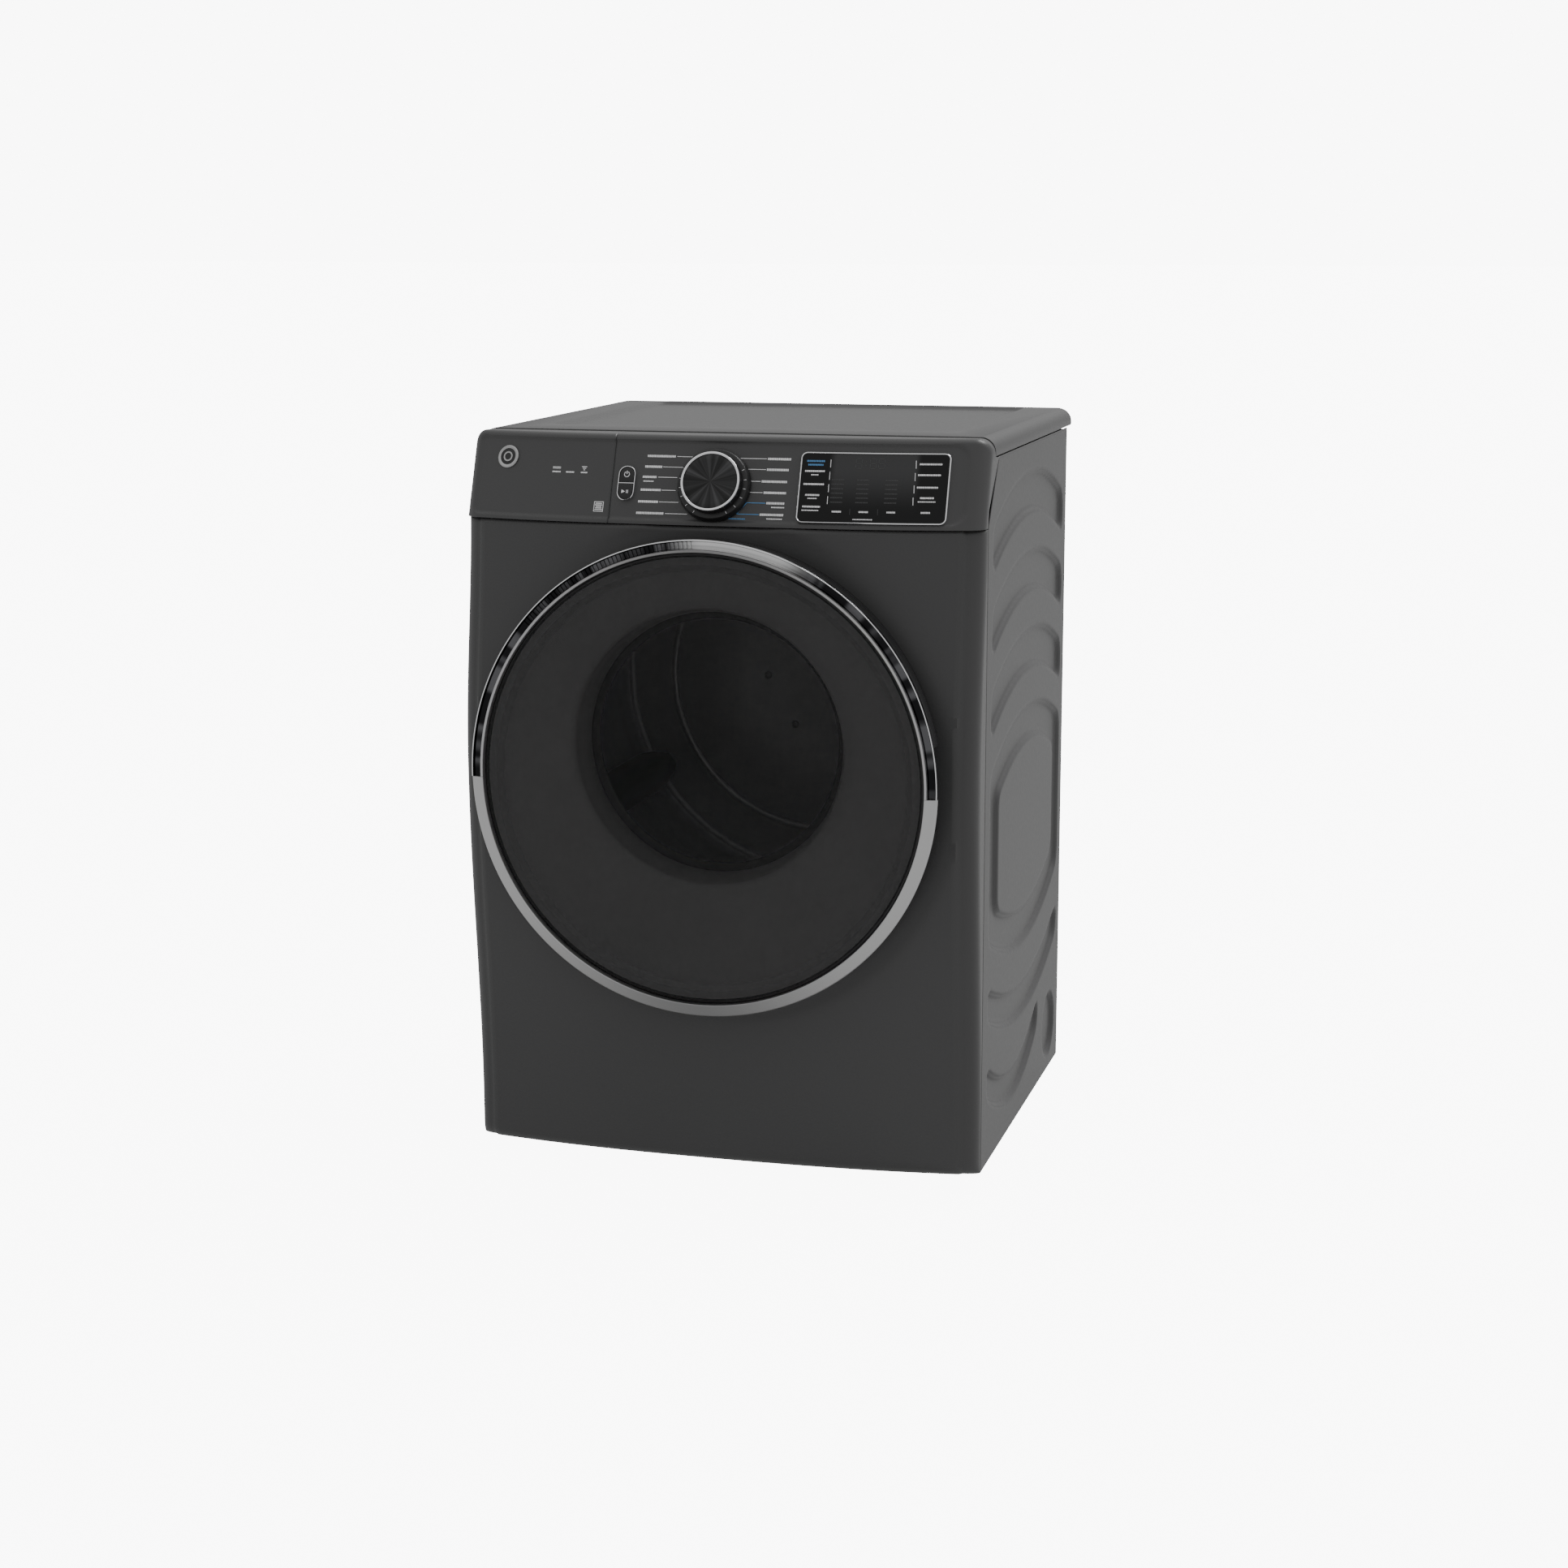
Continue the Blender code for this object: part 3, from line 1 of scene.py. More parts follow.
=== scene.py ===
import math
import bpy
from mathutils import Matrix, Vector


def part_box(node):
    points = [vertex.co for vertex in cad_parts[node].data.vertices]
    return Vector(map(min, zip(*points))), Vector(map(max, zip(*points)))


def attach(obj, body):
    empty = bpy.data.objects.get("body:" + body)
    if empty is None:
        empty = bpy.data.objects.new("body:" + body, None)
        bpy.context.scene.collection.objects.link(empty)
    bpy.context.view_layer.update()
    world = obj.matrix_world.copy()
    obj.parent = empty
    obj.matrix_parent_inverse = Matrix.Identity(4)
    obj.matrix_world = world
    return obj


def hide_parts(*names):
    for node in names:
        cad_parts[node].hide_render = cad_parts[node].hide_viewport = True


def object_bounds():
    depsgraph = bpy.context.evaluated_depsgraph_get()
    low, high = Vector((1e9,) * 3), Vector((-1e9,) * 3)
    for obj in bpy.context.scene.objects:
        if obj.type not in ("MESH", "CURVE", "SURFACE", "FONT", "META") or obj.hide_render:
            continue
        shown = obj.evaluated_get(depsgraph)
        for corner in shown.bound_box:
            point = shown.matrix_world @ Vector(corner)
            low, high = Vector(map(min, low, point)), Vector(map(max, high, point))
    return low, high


bl_info = {
    "name": "Front-loading clothes dryer",
    "version": (1, 0, 0),
    "blender": (4, 5, 0),
    "location": "View3D > Sidebar > Dryer",
    "description": "Builds the visible pieces of a front-loading clothes dryer round its solid parts",
    "category": "Object",
}

import bmesh
import bpy
from mathutils import Matrix, Vector

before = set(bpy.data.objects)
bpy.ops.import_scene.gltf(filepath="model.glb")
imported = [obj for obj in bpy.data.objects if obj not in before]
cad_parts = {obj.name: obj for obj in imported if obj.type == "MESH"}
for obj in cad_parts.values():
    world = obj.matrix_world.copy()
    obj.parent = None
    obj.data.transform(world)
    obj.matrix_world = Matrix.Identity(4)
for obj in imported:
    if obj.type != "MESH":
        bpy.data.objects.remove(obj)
SOLID_LOW, SOLID_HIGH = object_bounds()


# ------------------------------------------------------------ places taken from the solid parts

SIDE_LOW, SIDE_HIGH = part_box("side_panel_right")
FRONT_Y, BASE_Z = SIDE_LOW.y, SIDE_LOW.z
HALF = SOLID_HIGH.x
SIDE_DEPTH = SIDE_HIGH.y - FRONT_Y
SIDE_TOP = SIDE_HIGH.z - BASE_Z
REAR = SOLID_HIGH.y - FRONT_Y
HEIGHT = SOLID_HIGH.z - BASE_Z
DOOR_LOW, DOOR_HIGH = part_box("door_window")
DOOR_Z = (DOOR_LOW.z + DOOR_HIGH.z) / 2 - BASE_Z
WINDOW_R = DOOR_HIGH.x
WINDOW_Y = DOOR_LOW.y - FRONT_Y
RING_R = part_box("door_lower_band")[1].x
DRUM_LOW, DRUM_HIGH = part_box("drum")
DRUM_Z = (DRUM_LOW.z + DRUM_HIGH.z) / 2 - BASE_Z
DRUM_R = DRUM_HIGH.x
DRUM_FRONT = DRUM_LOW.y - FRONT_Y
DRUM_BACK = DRUM_HIGH.y - FRONT_Y
PANEL_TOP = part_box("front_panel")[1].z - BASE_Z
DUCT_LOW, DUCT_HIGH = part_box("exhaust_duct")
DUCT = ((DUCT_LOW.x + DUCT_HIGH.x) / 2, (DUCT_LOW.z + DUCT_HIGH.z) / 2 - BASE_Z)
DUCT_R = (DUCT_HIGH.x - DUCT_LOW.x) / 2

SHEET = 0.0011  # thickness of the cabinet's sheet
SEAM = 0.0006  # clearance at the panels' seams
CORNER_R = 0.026  # upright corners of the front panel
EDGE_BULGE = 0.031  # how far the front's sides come forward beside the door
BULGE_UP, BULGE_DOWN = 0.36, 0.50  # how far that reaches above and below the door's centre
BOW_BOTTOM, BOW_TOP = 0.0255, 0.036  # the front's bow across its width
CURL_R = 0.020  # lower edge of the front panel
LAND_Y = -0.062  # flat seat behind the door
DISH_R = 0.3335  # where the seat ends
CONSOLE_TILT = math.radians(21)
CONSOLE_REACH = 0.030
CONSOLE_CORNER_R = 0.020
CONSOLE_BOW = 0.034
CONSOLE_TOP_R = 0.010
CONSOLE_CORNER_DROP = 0.020
CONSOLE_LIP = 0.009
TOP_FALL = 0.0012  # how far the console's top falls towards the lid, which leaves the lid's edge proud
TOP_SEAM_Y = 0.045  # seam between console and lid
SPLIT_X = -0.1415  # seam between the console's two mouldings
DIAL_UP = 0.055  # middle of the controls, up the console's face
PILL_X = -0.121
DISPLAY_X = 0.211
BADGE = (-0.2975, 0.0865)
PRESS_ROOM = 0.0013  # clear height under a push button's cap
SKIRT = 0.025
TOP_EDGE_R = 0.020
CONSOLE_BOTTOM = PANEL_TOP + 2 * SEAM
RING_BACK = -0.1128
RING_IN_R = 0.3005
LOADING_R = 0.2045
DOOR_SCREW_R = 0.2255

SHARP = 38  # degrees; edges above this are drawn sharp unless a piece says otherwise
INK = 0.0002  # how far printed marks stand above the face
MARK_DEPTH = 0.0003
FACING_BACK = (-math.pi / 2, 0, 0)
CABINET_ORIGIN = Vector((0, FRONT_Y, BASE_Z))


# ------------------------------------------------------------ settings a user would change

class DryerFinishSettings(bpy.types.PropertyGroup):
    enamel: bpy.props.FloatVectorProperty(
        name="Enamel", description="Colour of the cabinet's satin enamel", subtype="COLOR", size=3,
        min=0.0, max=1.0, default=(0.040, 0.040, 0.0405))
    silver: bpy.props.FloatVectorProperty(
        name="Silver band", description="Colour of the door's satin band", subtype="COLOR", size=3,
        min=0.0, max=1.0, default=(0.40, 0.40, 0.40))
    accent: bpy.props.FloatVectorProperty(
        name="Accent", description="Colour of the marks for steam cycles", subtype="COLOR", size=3,
        min=0.0, max=1.0, default=(0.095, 0.27, 0.52))
    grain: bpy.props.FloatProperty(
        name="Enamel texture", description="Height of the enamel's fine orange peel", subtype="DISTANCE",
        min=0.0, max=0.001, default=0.00003)


class DryerShapeSettings(bpy.types.PropertyGroup):
    press_depth: bpy.props.FloatProperty(
        name="Pressed depth", description="Depth of the channels pressed into the side panels",
        subtype="DISTANCE", min=0.001, max=0.010, default=0.006)
    console_recess: bpy.props.FloatProperty(
        name="Console recess", description="How far the console's face lies behind its border",
        subtype="DISTANCE", min=0.0, max=0.003, default=0.0024)
    field_drop: bpy.props.FloatProperty(
        name="Lid field", description="Depth of the sunken field of the lid", subtype="DISTANCE",
        min=0.001, max=0.010, default=0.005)
    grip_ribs: bpy.props.IntProperty(
        name="Grip ribs", description="Ribs in the door's finger channel", min=4, max=120, default=46)


def shape_settings():
    return bpy.context.scene.dryer_shape


def finish_settings():
    return bpy.context.scene.dryer_finish


# ------------------------------------------------------------ shader maths

class Value:
    """A socket that takes part in Python expressions by adding Math nodes."""

    def __init__(self, recipe, socket):
        self.recipe = recipe
        self.socket = socket

    def _math(self, operation, *terms):
        return Value(self.recipe, self.recipe.node(
            "ShaderNodeMath", {"operation": operation}, *terms).outputs[0])

    def __add__(self, other):
        return self._math("ADD", self, other)

    __radd__ = __add__

    def __sub__(self, other):
        return self._math("SUBTRACT", self, other)

    def __rsub__(self, other):
        return self._math("SUBTRACT", other, self)

    def __mul__(self, other):
        return self._math("MULTIPLY", self, other)

    __rmul__ = __mul__

    def __truediv__(self, other):
        return self._math("DIVIDE", self, other)

    def sine(self):
        return self._math("SINE", self)

    def absolute(self):
        return self._math("ABSOLUTE", self)

    def root(self):
        return self._math("SQRT", self)

    def angle(self, other):
        return self._math("ARCTAN2", self, other)

    def ramp(self, low, high):
        """0 below low, 1 above high and smooth between."""
        node = self.recipe.node("ShaderNodeMapRange", {"interpolation_type": "SMOOTHSTEP"},
                                Value=self, **{"From Min": low, "From Max": high})
        return Value(self.recipe, node.outputs[0])


class Recipe:
    """A material under construction, with a Principled shader at its end."""

    def __init__(self, name, roughness=0.5, metallic=0.0, **inputs):
        self.material = bpy.data.materials.new(name)
        self.material.use_nodes = True
        self.tree = self.material.node_tree
        self.shader = self.tree.nodes["Principled BSDF"]
        self.feed(self.shader, Roughness=roughness, Metallic=metallic, **inputs)

    def feed(self, node, *terms, **inputs):
        pairs = list(zip(node.inputs, terms)) + [(node.inputs[k.replace("_", " ")], v) for k, v in inputs.items()]
        for socket, value in pairs:
            if isinstance(value, Value):
                self.tree.links.new(value.socket, socket)
            elif socket.type == "RGBA" and len(value) == 3:
                socket.default_value = (*value, 1.0)
            else:
                socket.default_value = value

    def node(self, kind, settings=None, *terms, **inputs):
        made = self.tree.nodes.new(kind)
        for key, value in (settings or {}).items():
            setattr(made, key, value)
        self.feed(made, *terms, **inputs)
        return made

    def place(self, centre=(0, 0, 0), turn=(0, 0, 0), scale=(1, 1, 1)):
        """Object coordinates, centred on a piece and turned."""
        coordinate = self.node("ShaderNodeTexCoord")
        mapping = self.node("ShaderNodeMapping", {"vector_type": "TEXTURE"}, Rotation=turn, Location=centre,
                            Scale=scale, Vector=Value(self, coordinate.outputs["Object"]))
        return Value(self, mapping.outputs[0])

    def split(self, vector):
        node = self.node("ShaderNodeSeparateXYZ", None, vector)
        return [Value(self, out) for out in node.outputs]

    def combine(self, *values):
        return Value(self, self.node("ShaderNodeCombineXYZ", None, *values).outputs[0])

    def noise(self, where, scale, detail=2.0, roughness=0.5):
        node = self.node("ShaderNodeTexNoise", None, Vector=where, Scale=scale, Detail=detail, Roughness=roughness)
        return Value(self, node.outputs[0])

    def cells(self, where, scale, output):
        node = self.node("ShaderNodeTexVoronoi", None, Vector=where, Scale=scale)
        return Value(self, node.outputs[output])

    def mix(self, share, first, second):
        node = self.node("ShaderNodeMix", {"data_type": "RGBA"})
        sockets = [s for s in node.inputs if s.enabled]
        for socket, value in zip((sockets[0], sockets[-2], sockets[-1]), (share, first, second)):
            if isinstance(value, Value):
                self.tree.links.new(value.socket, socket)
            else:
                socket.default_value = (*value, 1.0) if hasattr(value, "__len__") else value
        return Value(self, [s for s in node.outputs if s.enabled][0])

    def colour(self, value):
        self.feed(self.shader, Base_Color=value)
        return self

    def rough(self, value):
        self.feed(self.shader, Roughness=value)
        return self

    def bump(self, height, distance, strength=1.0):
        node = self.node("ShaderNodeBump", None, Height=height, Distance=distance, Strength=strength)
        self.feed(self.shader, Normal=Value(self, node.outputs[0]))
        return self


FINISHES = {}


def finish(name):
    """The finished material of that name, made the first time it is asked for."""
    if name not in FINISHES:
        FINISHES[name] = RECIPES[name]().material
    return FINISHES[name]


def shade(colour, factor):
    """The colour made darker or lighter."""
    return tuple(min(1.0, c * factor) for c in colour)


def enamel():
    tone = tuple(finish_settings().enamel)
    paint = Recipe("graphite_enamel", Specular_IOR_Level=0.42, Coat_Weight=0.0)
    where = paint.place()
    drift = paint.noise(where, 3.0, 3.0)
    paint.colour(paint.mix(drift, shade(tone, 0.94), shade(tone, 1.06)))
    paint.rough(0.40 + 0.06 * paint.noise(where, 160.0))
    return paint.bump(paint.noise(where, 900.0, 1.0), finish_settings().grain, 0.5)


def moulded(name, tone, grain=1400.0, rough=0.5, height=0.00004):
    def make():
        plastic = Recipe(name, Specular_IOR_Level=0.4)
        where = plastic.place()
        plastic.colour(plastic.mix(plastic.noise(where, 6.0, 3.0), shade(tone, 0.88), shade(tone, 1.12)))
        plastic.rough(rough - 0.05 + 0.10 * plastic.noise(where, 90.0))
        return plastic.bump(plastic.cells(where, grain, "Distance"), height, 0.5)
    return make


def polished(name, tone, metallic=1.0, rough=0.07):
    """A bright or dark plated surface, with faint wipe marks."""
    def make():
        plate = Recipe(name, metallic=metallic)
        where = plate.place()
        plate.colour(plate.mix(plate.noise(where, 14.0, 2.0), shade(tone, 0.93), shade(tone, 1.05)))
        smear = plate.noise(plate.place(scale=(1, 0.2, 1)), 45.0, 4.0, 0.65)
        return plate.rough(rough + 0.06 * smear)
    return make


def brushed_band():
    """Silver paint brushed round the door's centre, coloured with painted light: lighter towards the door's left and
    right, darker at its top and bottom.
    """
    tone = tuple(finish_settings().silver)
    metal = Recipe("satin_silver", metallic=0.85, Specular_IOR_Level=0.5)
    x, _, z = metal.split(metal.place((0, 0, DOOR_Z + BASE_Z)))
    radius = (x * x + z * z).root()
    streaks = metal.noise(metal.combine(radius * 900.0, z.angle(x) * 2.0, 0.0), 1.6, 3.0, 0.6)
    # painted light: colour lighter where the band runs up the door's sides, darker at its top and bottom, mixed with
    # the brushed streaks
    painted_band_sheen = ((x / radius).absolute() + 0.06 * streaks).ramp(0.0, 1.0)
    metal.colour(metal.mix(painted_band_sheen, shade(tone, 0.55), shade(tone, 1.12)))
    metal.rough(0.30 + 0.14 * streaks)
    return metal.bump(streaks, 0.00004, 0.25)


def zinc(name, tone=(0.52, 0.53, 0.55), scale=70.0, rough=0.34):
    """Galvanised sheet with its spangle."""
    def make():
        metal = Recipe(name, metallic=0.9)
        where = metal.place()
        spangle = metal.split(metal.cells(where, scale, "Color"))[0]
        metal.colour(metal.mix(spangle, shade(tone, 0.84), shade(tone, 1.10)))
        metal.rough(rough + 0.16 * spangle)
        return metal.bump(metal.noise(where, 500.0), 0.00003, 0.4)
    return make


def tinted_glass(name, tone, alpha, gleam, rough=0.03):
    def make():
        pane = Recipe(name, Alpha=alpha, Specular_IOR_Level=gleam)
        where = pane.place()
        pane.colour(pane.mix(pane.noise(where, 4.0), shade(tone, 0.95), shade(tone, 1.05)))
        return pane.rough(rough + 0.02 * pane.noise(where, 18.0, 3.0))
    return make


def grip_chrome():
    """Dark plating with painted reflections along the arc, as a curved mirror would show: darker and lighter
    stretches, and a bright painted highlight near the top.
    """
    plate = Recipe("grip_chrome", metallic=1.0)
    x, _, z = plate.split(plate.place((0, 0, DOOR_Z + BASE_Z)))
    turn = z.angle(x)
    # painted highlight: a bright stretch of colour on the arc near the top of the door
    painted_highlight = turn.ramp(1.05, 1.25) * (1 - turn.ramp(1.55, 1.72))
    # painted reflections: darker and lighter stretches of colour along the arc, which also set the roughness
    painted_reflections = plate.noise(plate.combine(turn * 4.0, 0.0, 0.0), 1.7, 2.0).ramp(0.46, 0.56)
    plate.colour(plate.mix(painted_highlight, plate.mix(painted_reflections, (0.012, 0.012, 0.013), (0.10, 0.10, 0.105)),
                           (0.55, 0.55, 0.55)))
    return plate.rough(0.10 + 0.08 * painted_reflections)


def spun_black():
    """The dial's face, with a painted reflection: a fan of lighter and darker wedges round its centre, as a spun face
    shows.
    """
    disc = Recipe("dial_face_black", metallic=0.65, Specular_IOR_Level=0.6)
    place = face_matrix(0, DIAL_UP)
    x, y, _ = disc.split(disc.place(tuple(place.translation + CABINET_ORIGIN), tuple(place.to_euler())))
    # painted reflection: lighter and darker wedges of colour round the dial's centre
    painted_reflection_fan = disc.noise(disc.combine(y.angle(x) * 1.6, 0.0, 0.0), 1.3, 3.0, 0.6).ramp(0.38, 0.74)
    grooves = ((x * x + y * y).root() * 9000.0).sine()
    disc.colour(disc.mix(painted_reflection_fan, (0.006, 0.006, 0.006), (0.060, 0.060, 0.062)))
    disc.rough(0.30 + 0.16 * painted_reflection_fan)
    return disc.bump(grooves, 0.00002, 0.25)


def display_black():
    """A black lens, grey where the display's field is, with painted light that makes the field lighter towards its
    top.
    """
    lens = Recipe("display_black", Specular_IOR_Level=0.20)
    x, _, z = lens.split(lens.place((0, 0, CONSOLE_BOTTOM + BASE_Z)))
    # the display's field, coloured grey, with painted light making it lighter towards its top
    field = (x - 0.150).ramp(0.0, 0.012) * (1 - (x - 0.262).ramp(0.0, 0.010)) * (z - 0.018).ramp(0.0, 0.060)
    lens.colour(lens.mix(field, (0.0030, 0.0030, 0.0032), (0.036, 0.036, 0.037)))
    return lens.rough(0.16 + 0.05 * lens.noise(lens.place(), 60.0))


def drum_coating():
    """Dark coated steel, with the faint rings that rolling leaves."""
    metal = Recipe("drum_coating", metallic=0.25, Specular_IOR_Level=0.5)
    where = metal.place()
    _, y, _ = metal.split(where)
    rings = metal.noise(metal.combine(y * 260.0, 0.0, 0.0), 1.0, 2.0)
    metal.colour(metal.mix(rings, (0.62, 0.62, 0.625), (0.75, 0.75, 0.755)))
    metal.rough(0.34 + 0.14 * metal.noise(where, 60.0, 3.0))
    return metal.bump(metal.noise(where, 420.0), 0.00004, 0.4)


def fine_mesh(name, tone):
    """A woven screen held in a frame."""
    def make():
        cloth = Recipe(name, Specular_IOR_Level=0.4)
        x, _, z = cloth.split(cloth.place())
        weave = ((x * 5200.0).sine() * (z * 5200.0).sine()) * 0.5 + 0.5
        cloth.colour(cloth.mix(weave, shade(tone, 0.45), tone))
        cloth.rough(0.55 + 0.2 * weave)
        return cloth.bump(weave, 0.0002, 0.6)
    return make


def circuit():
    board = Recipe("circuit_board", Specular_IOR_Level=0.5)
    x, _, z = board.split(board.place())
    tracks = (((x * 900.0).sine() + (z * 700.0).sine()) * 2.0).ramp(0.6, 1.0)
    board.colour(board.mix(tracks, (0.010, 0.070, 0.030), (0.020, 0.130, 0.060)))
    return board.rough(0.35 + 0.1 * board.noise(board.place(), 120.0))


def felt():
    wool = Recipe("drum_felt", Specular_IOR_Level=0.2)
    where = wool.place()
    wool.colour(wool.mix(wool.noise(where, 700.0, 4.0), (0.16, 0.16, 0.155), (0.26, 0.26, 0.25)))
    wool.rough(0.9 + 0.05 * wool.noise(where, 90.0))
    return wool.bump(wool.noise(where, 1500.0, 3.0), 0.0004, 0.7)


def printed(name, tone):
    def make():
        ink = Recipe(name, Specular_IOR_Level=0.2)
        where = ink.place()
        ink.colour(ink.mix(ink.noise(where, 900.0), shade(tone, 0.88), tone))
        return ink.rough(0.55 + 0.1 * ink.noise(where, 300.0))
    return make


def accent_print():
    return printed("accent_print", tuple(finish_settings().accent))()


RECIPES = {
    "enamel": enamel,
    "silver": brushed_band,
    "bright": polished("bright_chrome", (0.72, 0.72, 0.73), rough=0.10),
    "dark_chrome": grip_chrome,
    "zinc": zinc("zinc_sheet"),
    "machined": zinc("machined_steel", (0.46, 0.46, 0.47), 900.0, 0.28),
    "shell": moulded("door_black", (0.016, 0.016, 0.0165), 1500.0, 0.42),
    "black": moulded("fine_black", (0.012, 0.012, 0.0125), 1700.0, 0.36),
    "gloss": moulded("key_black", (0.007, 0.007, 0.0073), 1700.0, 0.25, 0.0),
    "grey": moulded("moulded_grey", (0.070, 0.070, 0.072), 1100.0, 0.5),
    "funnel": moulded("funnel_grey", (0.165, 0.165, 0.167), 300.0, 0.6, 0.0),
    "rubber": moulded("rubber_black", (0.018, 0.018, 0.018), 800.0, 0.78, 0.0001),
    "motor": moulded("motor_casting", (0.30, 0.31, 0.32), 500.0, 0.45, 0.0002),
    "white": moulded("duct_white", (0.55, 0.55, 0.54), 900.0, 0.5),
    "window": tinted_glass("smoked_window", (0.010, 0.010, 0.0103), 0.33, 0.12),
    "inner_glass": tinted_glass("inner_bowl_glass", (0.012, 0.0125, 0.0125), 0.08, 0.05),
    "dial_face": spun_black,
    "display": display_black,
    "drum": drum_coating,
    "bead": zinc("bead_steel", (0.80, 0.80, 0.81), 900.0, 0.3),
    "screen": fine_mesh("lint_mesh", (0.20, 0.20, 0.20)),
    "board": circuit,
    "felt": felt,
    "print": printed("white_print", (0.86, 0.86, 0.87)),
    "faint": printed("faint_print", (0.060, 0.060, 0.062)),
    "accent": accent_print,
    "coil": zinc("heater_wire", (0.38, 0.33, 0.30), 300.0, 0.4),
    # near-black painted shade, standing for the dark inside the rear louvres' openings
    "hole": moulded("vent_painted_shade", (0.004, 0.004, 0.004), 900.0, 0.7),
}


# ------------------------------------------------------------ mesh making

def place_mesh(mesh, angle):
    """Move a mesh from the cabinet's frame to the scene's and set its sharp edges."""
    mesh.transform(Matrix.Translation(CABINET_ORIGIN))
    mesh.shade_smooth()
    mesh.set_sharp_from_angle(angle=math.radians(angle))


def make_mesh(name, shape, weld=0.0, toward=None):
    """A mesh of (points, faces) with its near points welded and its normals outward, or toward a side."""
    mesh = bpy.data.meshes.new(name)
    mesh.from_pydata(shape[0], [], shape[1])
    bm = bmesh.new()
    bm.from_mesh(mesh)
    if weld:
        bmesh.ops.remove_doubles(bm, verts=bm.verts, dist=weld)
        bmesh.ops.dissolve_degenerate(bm, edges=bm.edges, dist=weld / 10)
    bmesh.ops.recalc_face_normals(bm, faces=bm.faces)
    if toward is not None:
        bm.normal_update()
        total = sum((f.normal * f.calc_area() for f in bm.faces), Vector())
        if total.dot(Vector(toward)) < 0:
            bmesh.ops.reverse_faces(bm, faces=bm.faces)
    bm.to_mesh(mesh)
    bm.free()
    return mesh


def add_object(name, data):
    item = bpy.data.objects.new(name, data)
    bpy.context.scene.collection.objects.link(item)
    return item


def plain_mesh(item):
    """The item's mesh with its modifiers applied."""
    return bpy.data.meshes.new_from_object(item.evaluated_get(bpy.context.evaluated_depsgraph_get()))


def put(name, shape, body, look, stands_for=(), angle=SHARP, toward=None, wall=0.0):
    """Make a piece from (points, faces) in the cabinet's frame and let it ride on a body."""
    mesh = make_mesh(name, shape, 1e-6, toward)
    place_mesh(mesh, angle)
    mesh.materials.append(finish(look))
    piece = add_object(name, mesh)
    if wall:
        skin = piece.modifiers.new("Wall", "SOLIDIFY")
        skin.thickness, skin.offset = wall, -1
    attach(piece, body)
    if stands_for:
        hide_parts(*stands_for)
    return piece


def carve(piece, cutter):
    """Cut a shape, in the cabinet's frame, out of a closed piece and keep the plain mesh."""
    mesh = make_mesh("cutter", cutter)
    mesh.transform(Matrix.Translation(CABINET_ORIGIN))
    tool = add_object("cutter", mesh)
    step = piece.modifiers.new("Cut", "BOOLEAN")
    step.object, step.solver = tool, "EXACT"
    mesh = plain_mesh(piece)
    piece.modifiers.clear()
    piece.data = mesh
    mesh.shade_smooth()
    mesh.set_sharp_from_angle(angle=math.radians(SHARP))
    bpy.data.objects.remove(tool, do_unlink=True)


def loft(rings, cyclic=True, closed=False, caps=False):
    """Skin between rings of points; closed joins the last ring to the first."""
    count = len(rings[0])
    points = [p for ring in rings for p in ring]
    faces = []
    span = count if cyclic else count - 1
    last = len(rings) if closed else len(rings) - 1
    for row in range(last):
        near, far = row * count, ((row + 1) % len(rings)) * count
        for k in range(span):
            n = (k + 1) % count
            faces.append((near + k, near + n, far + n, far + k))
    if caps:
        if cyclic:
            faces += [tuple(range(count)), tuple(range((len(rings) - 1) * count, len(rings) * count))]
        else:
            faces += [tuple(r * count for r in range(len(rings))),
                      tuple(r * count + count - 1 for r in range(len(rings)))]
    return points, faces


def turned(profile, centre, steps=160, arc=None):
    """Turn (radius, y) points about a line along Y. On the axis the profile is open, else it closes."""
    start, end = arc or (0.0, math.tau)
    count = steps + 1 if arc else steps
    rings = []
    for radius, y in profile:
        rings.append([(centre[0] + radius * math.cos(a), y, centre[1] + radius * math.sin(a))
                      for a in (start + (end - start) * k / steps for k in range(count))])
    closed = profile[0][0] != 0
    return loft(rings, cyclic=not arc, closed=closed, caps=bool(arc))


def turned_z(profile, steps=96):
    """Turn (radius, height) points about Z. On the axis the profile is open, else it closes."""
    rings = [[(r * math.cos(math.tau * k / steps), r * math.sin(math.tau * k / steps), h)
              for k in range(steps)] for r, h in profile]
    return loft(rings, closed=profile[0][0] != 0)


def rounded_path(points, radius=0.0006, steps=2):
    """Round the corners of a closed profile a little, for soft edges on turned pieces."""
    out = []
    count = len(points)
    for k, here in enumerate(points):
        here = Vector(here)
        before = Vector(points[k - 1]) - here
        after = Vector(points[(k + 1) % count]) - here
        reach = min(radius, before.length * 0.4, after.length * 0.4)
        first = here + before.normalized() * reach
        last = here + after.normalized() * reach
        for s in range(steps + 1):
            t = s / steps
            out.append(tuple(first * (1 - t) ** 2 + here * 2 * t * (1 - t) + last * t ** 2))
    return out


def block(low, high):
    x0, y0, z0 = low
    x1, y1, z1 = high
    points = [(x, y, z) for x in (x0, x1) for y in (y0, y1) for z in (z0, z1)]
    return points, [(0, 1, 3, 2), (4, 6, 7, 5), (0, 4, 5, 1), (2, 3, 7, 6), (0, 2, 6, 4), (1, 5, 7, 3)]


def rounded_rectangle(width, height, radius, steps=6, centre=(0.0, 0.0)):
    points = []
    for quarter, (sx, sy) in enumerate(((1, 1), (-1, 1), (-1, -1), (1, -1))):
        for k in range(steps + 1):
            a = math.radians(90 * (quarter + k / steps))
            points.append((centre[0] + sx * (width / 2 - radius) + radius * math.cos(a),
                           centre[1] + sy * (height / 2 - radius) + radius * math.sin(a)))
    return points


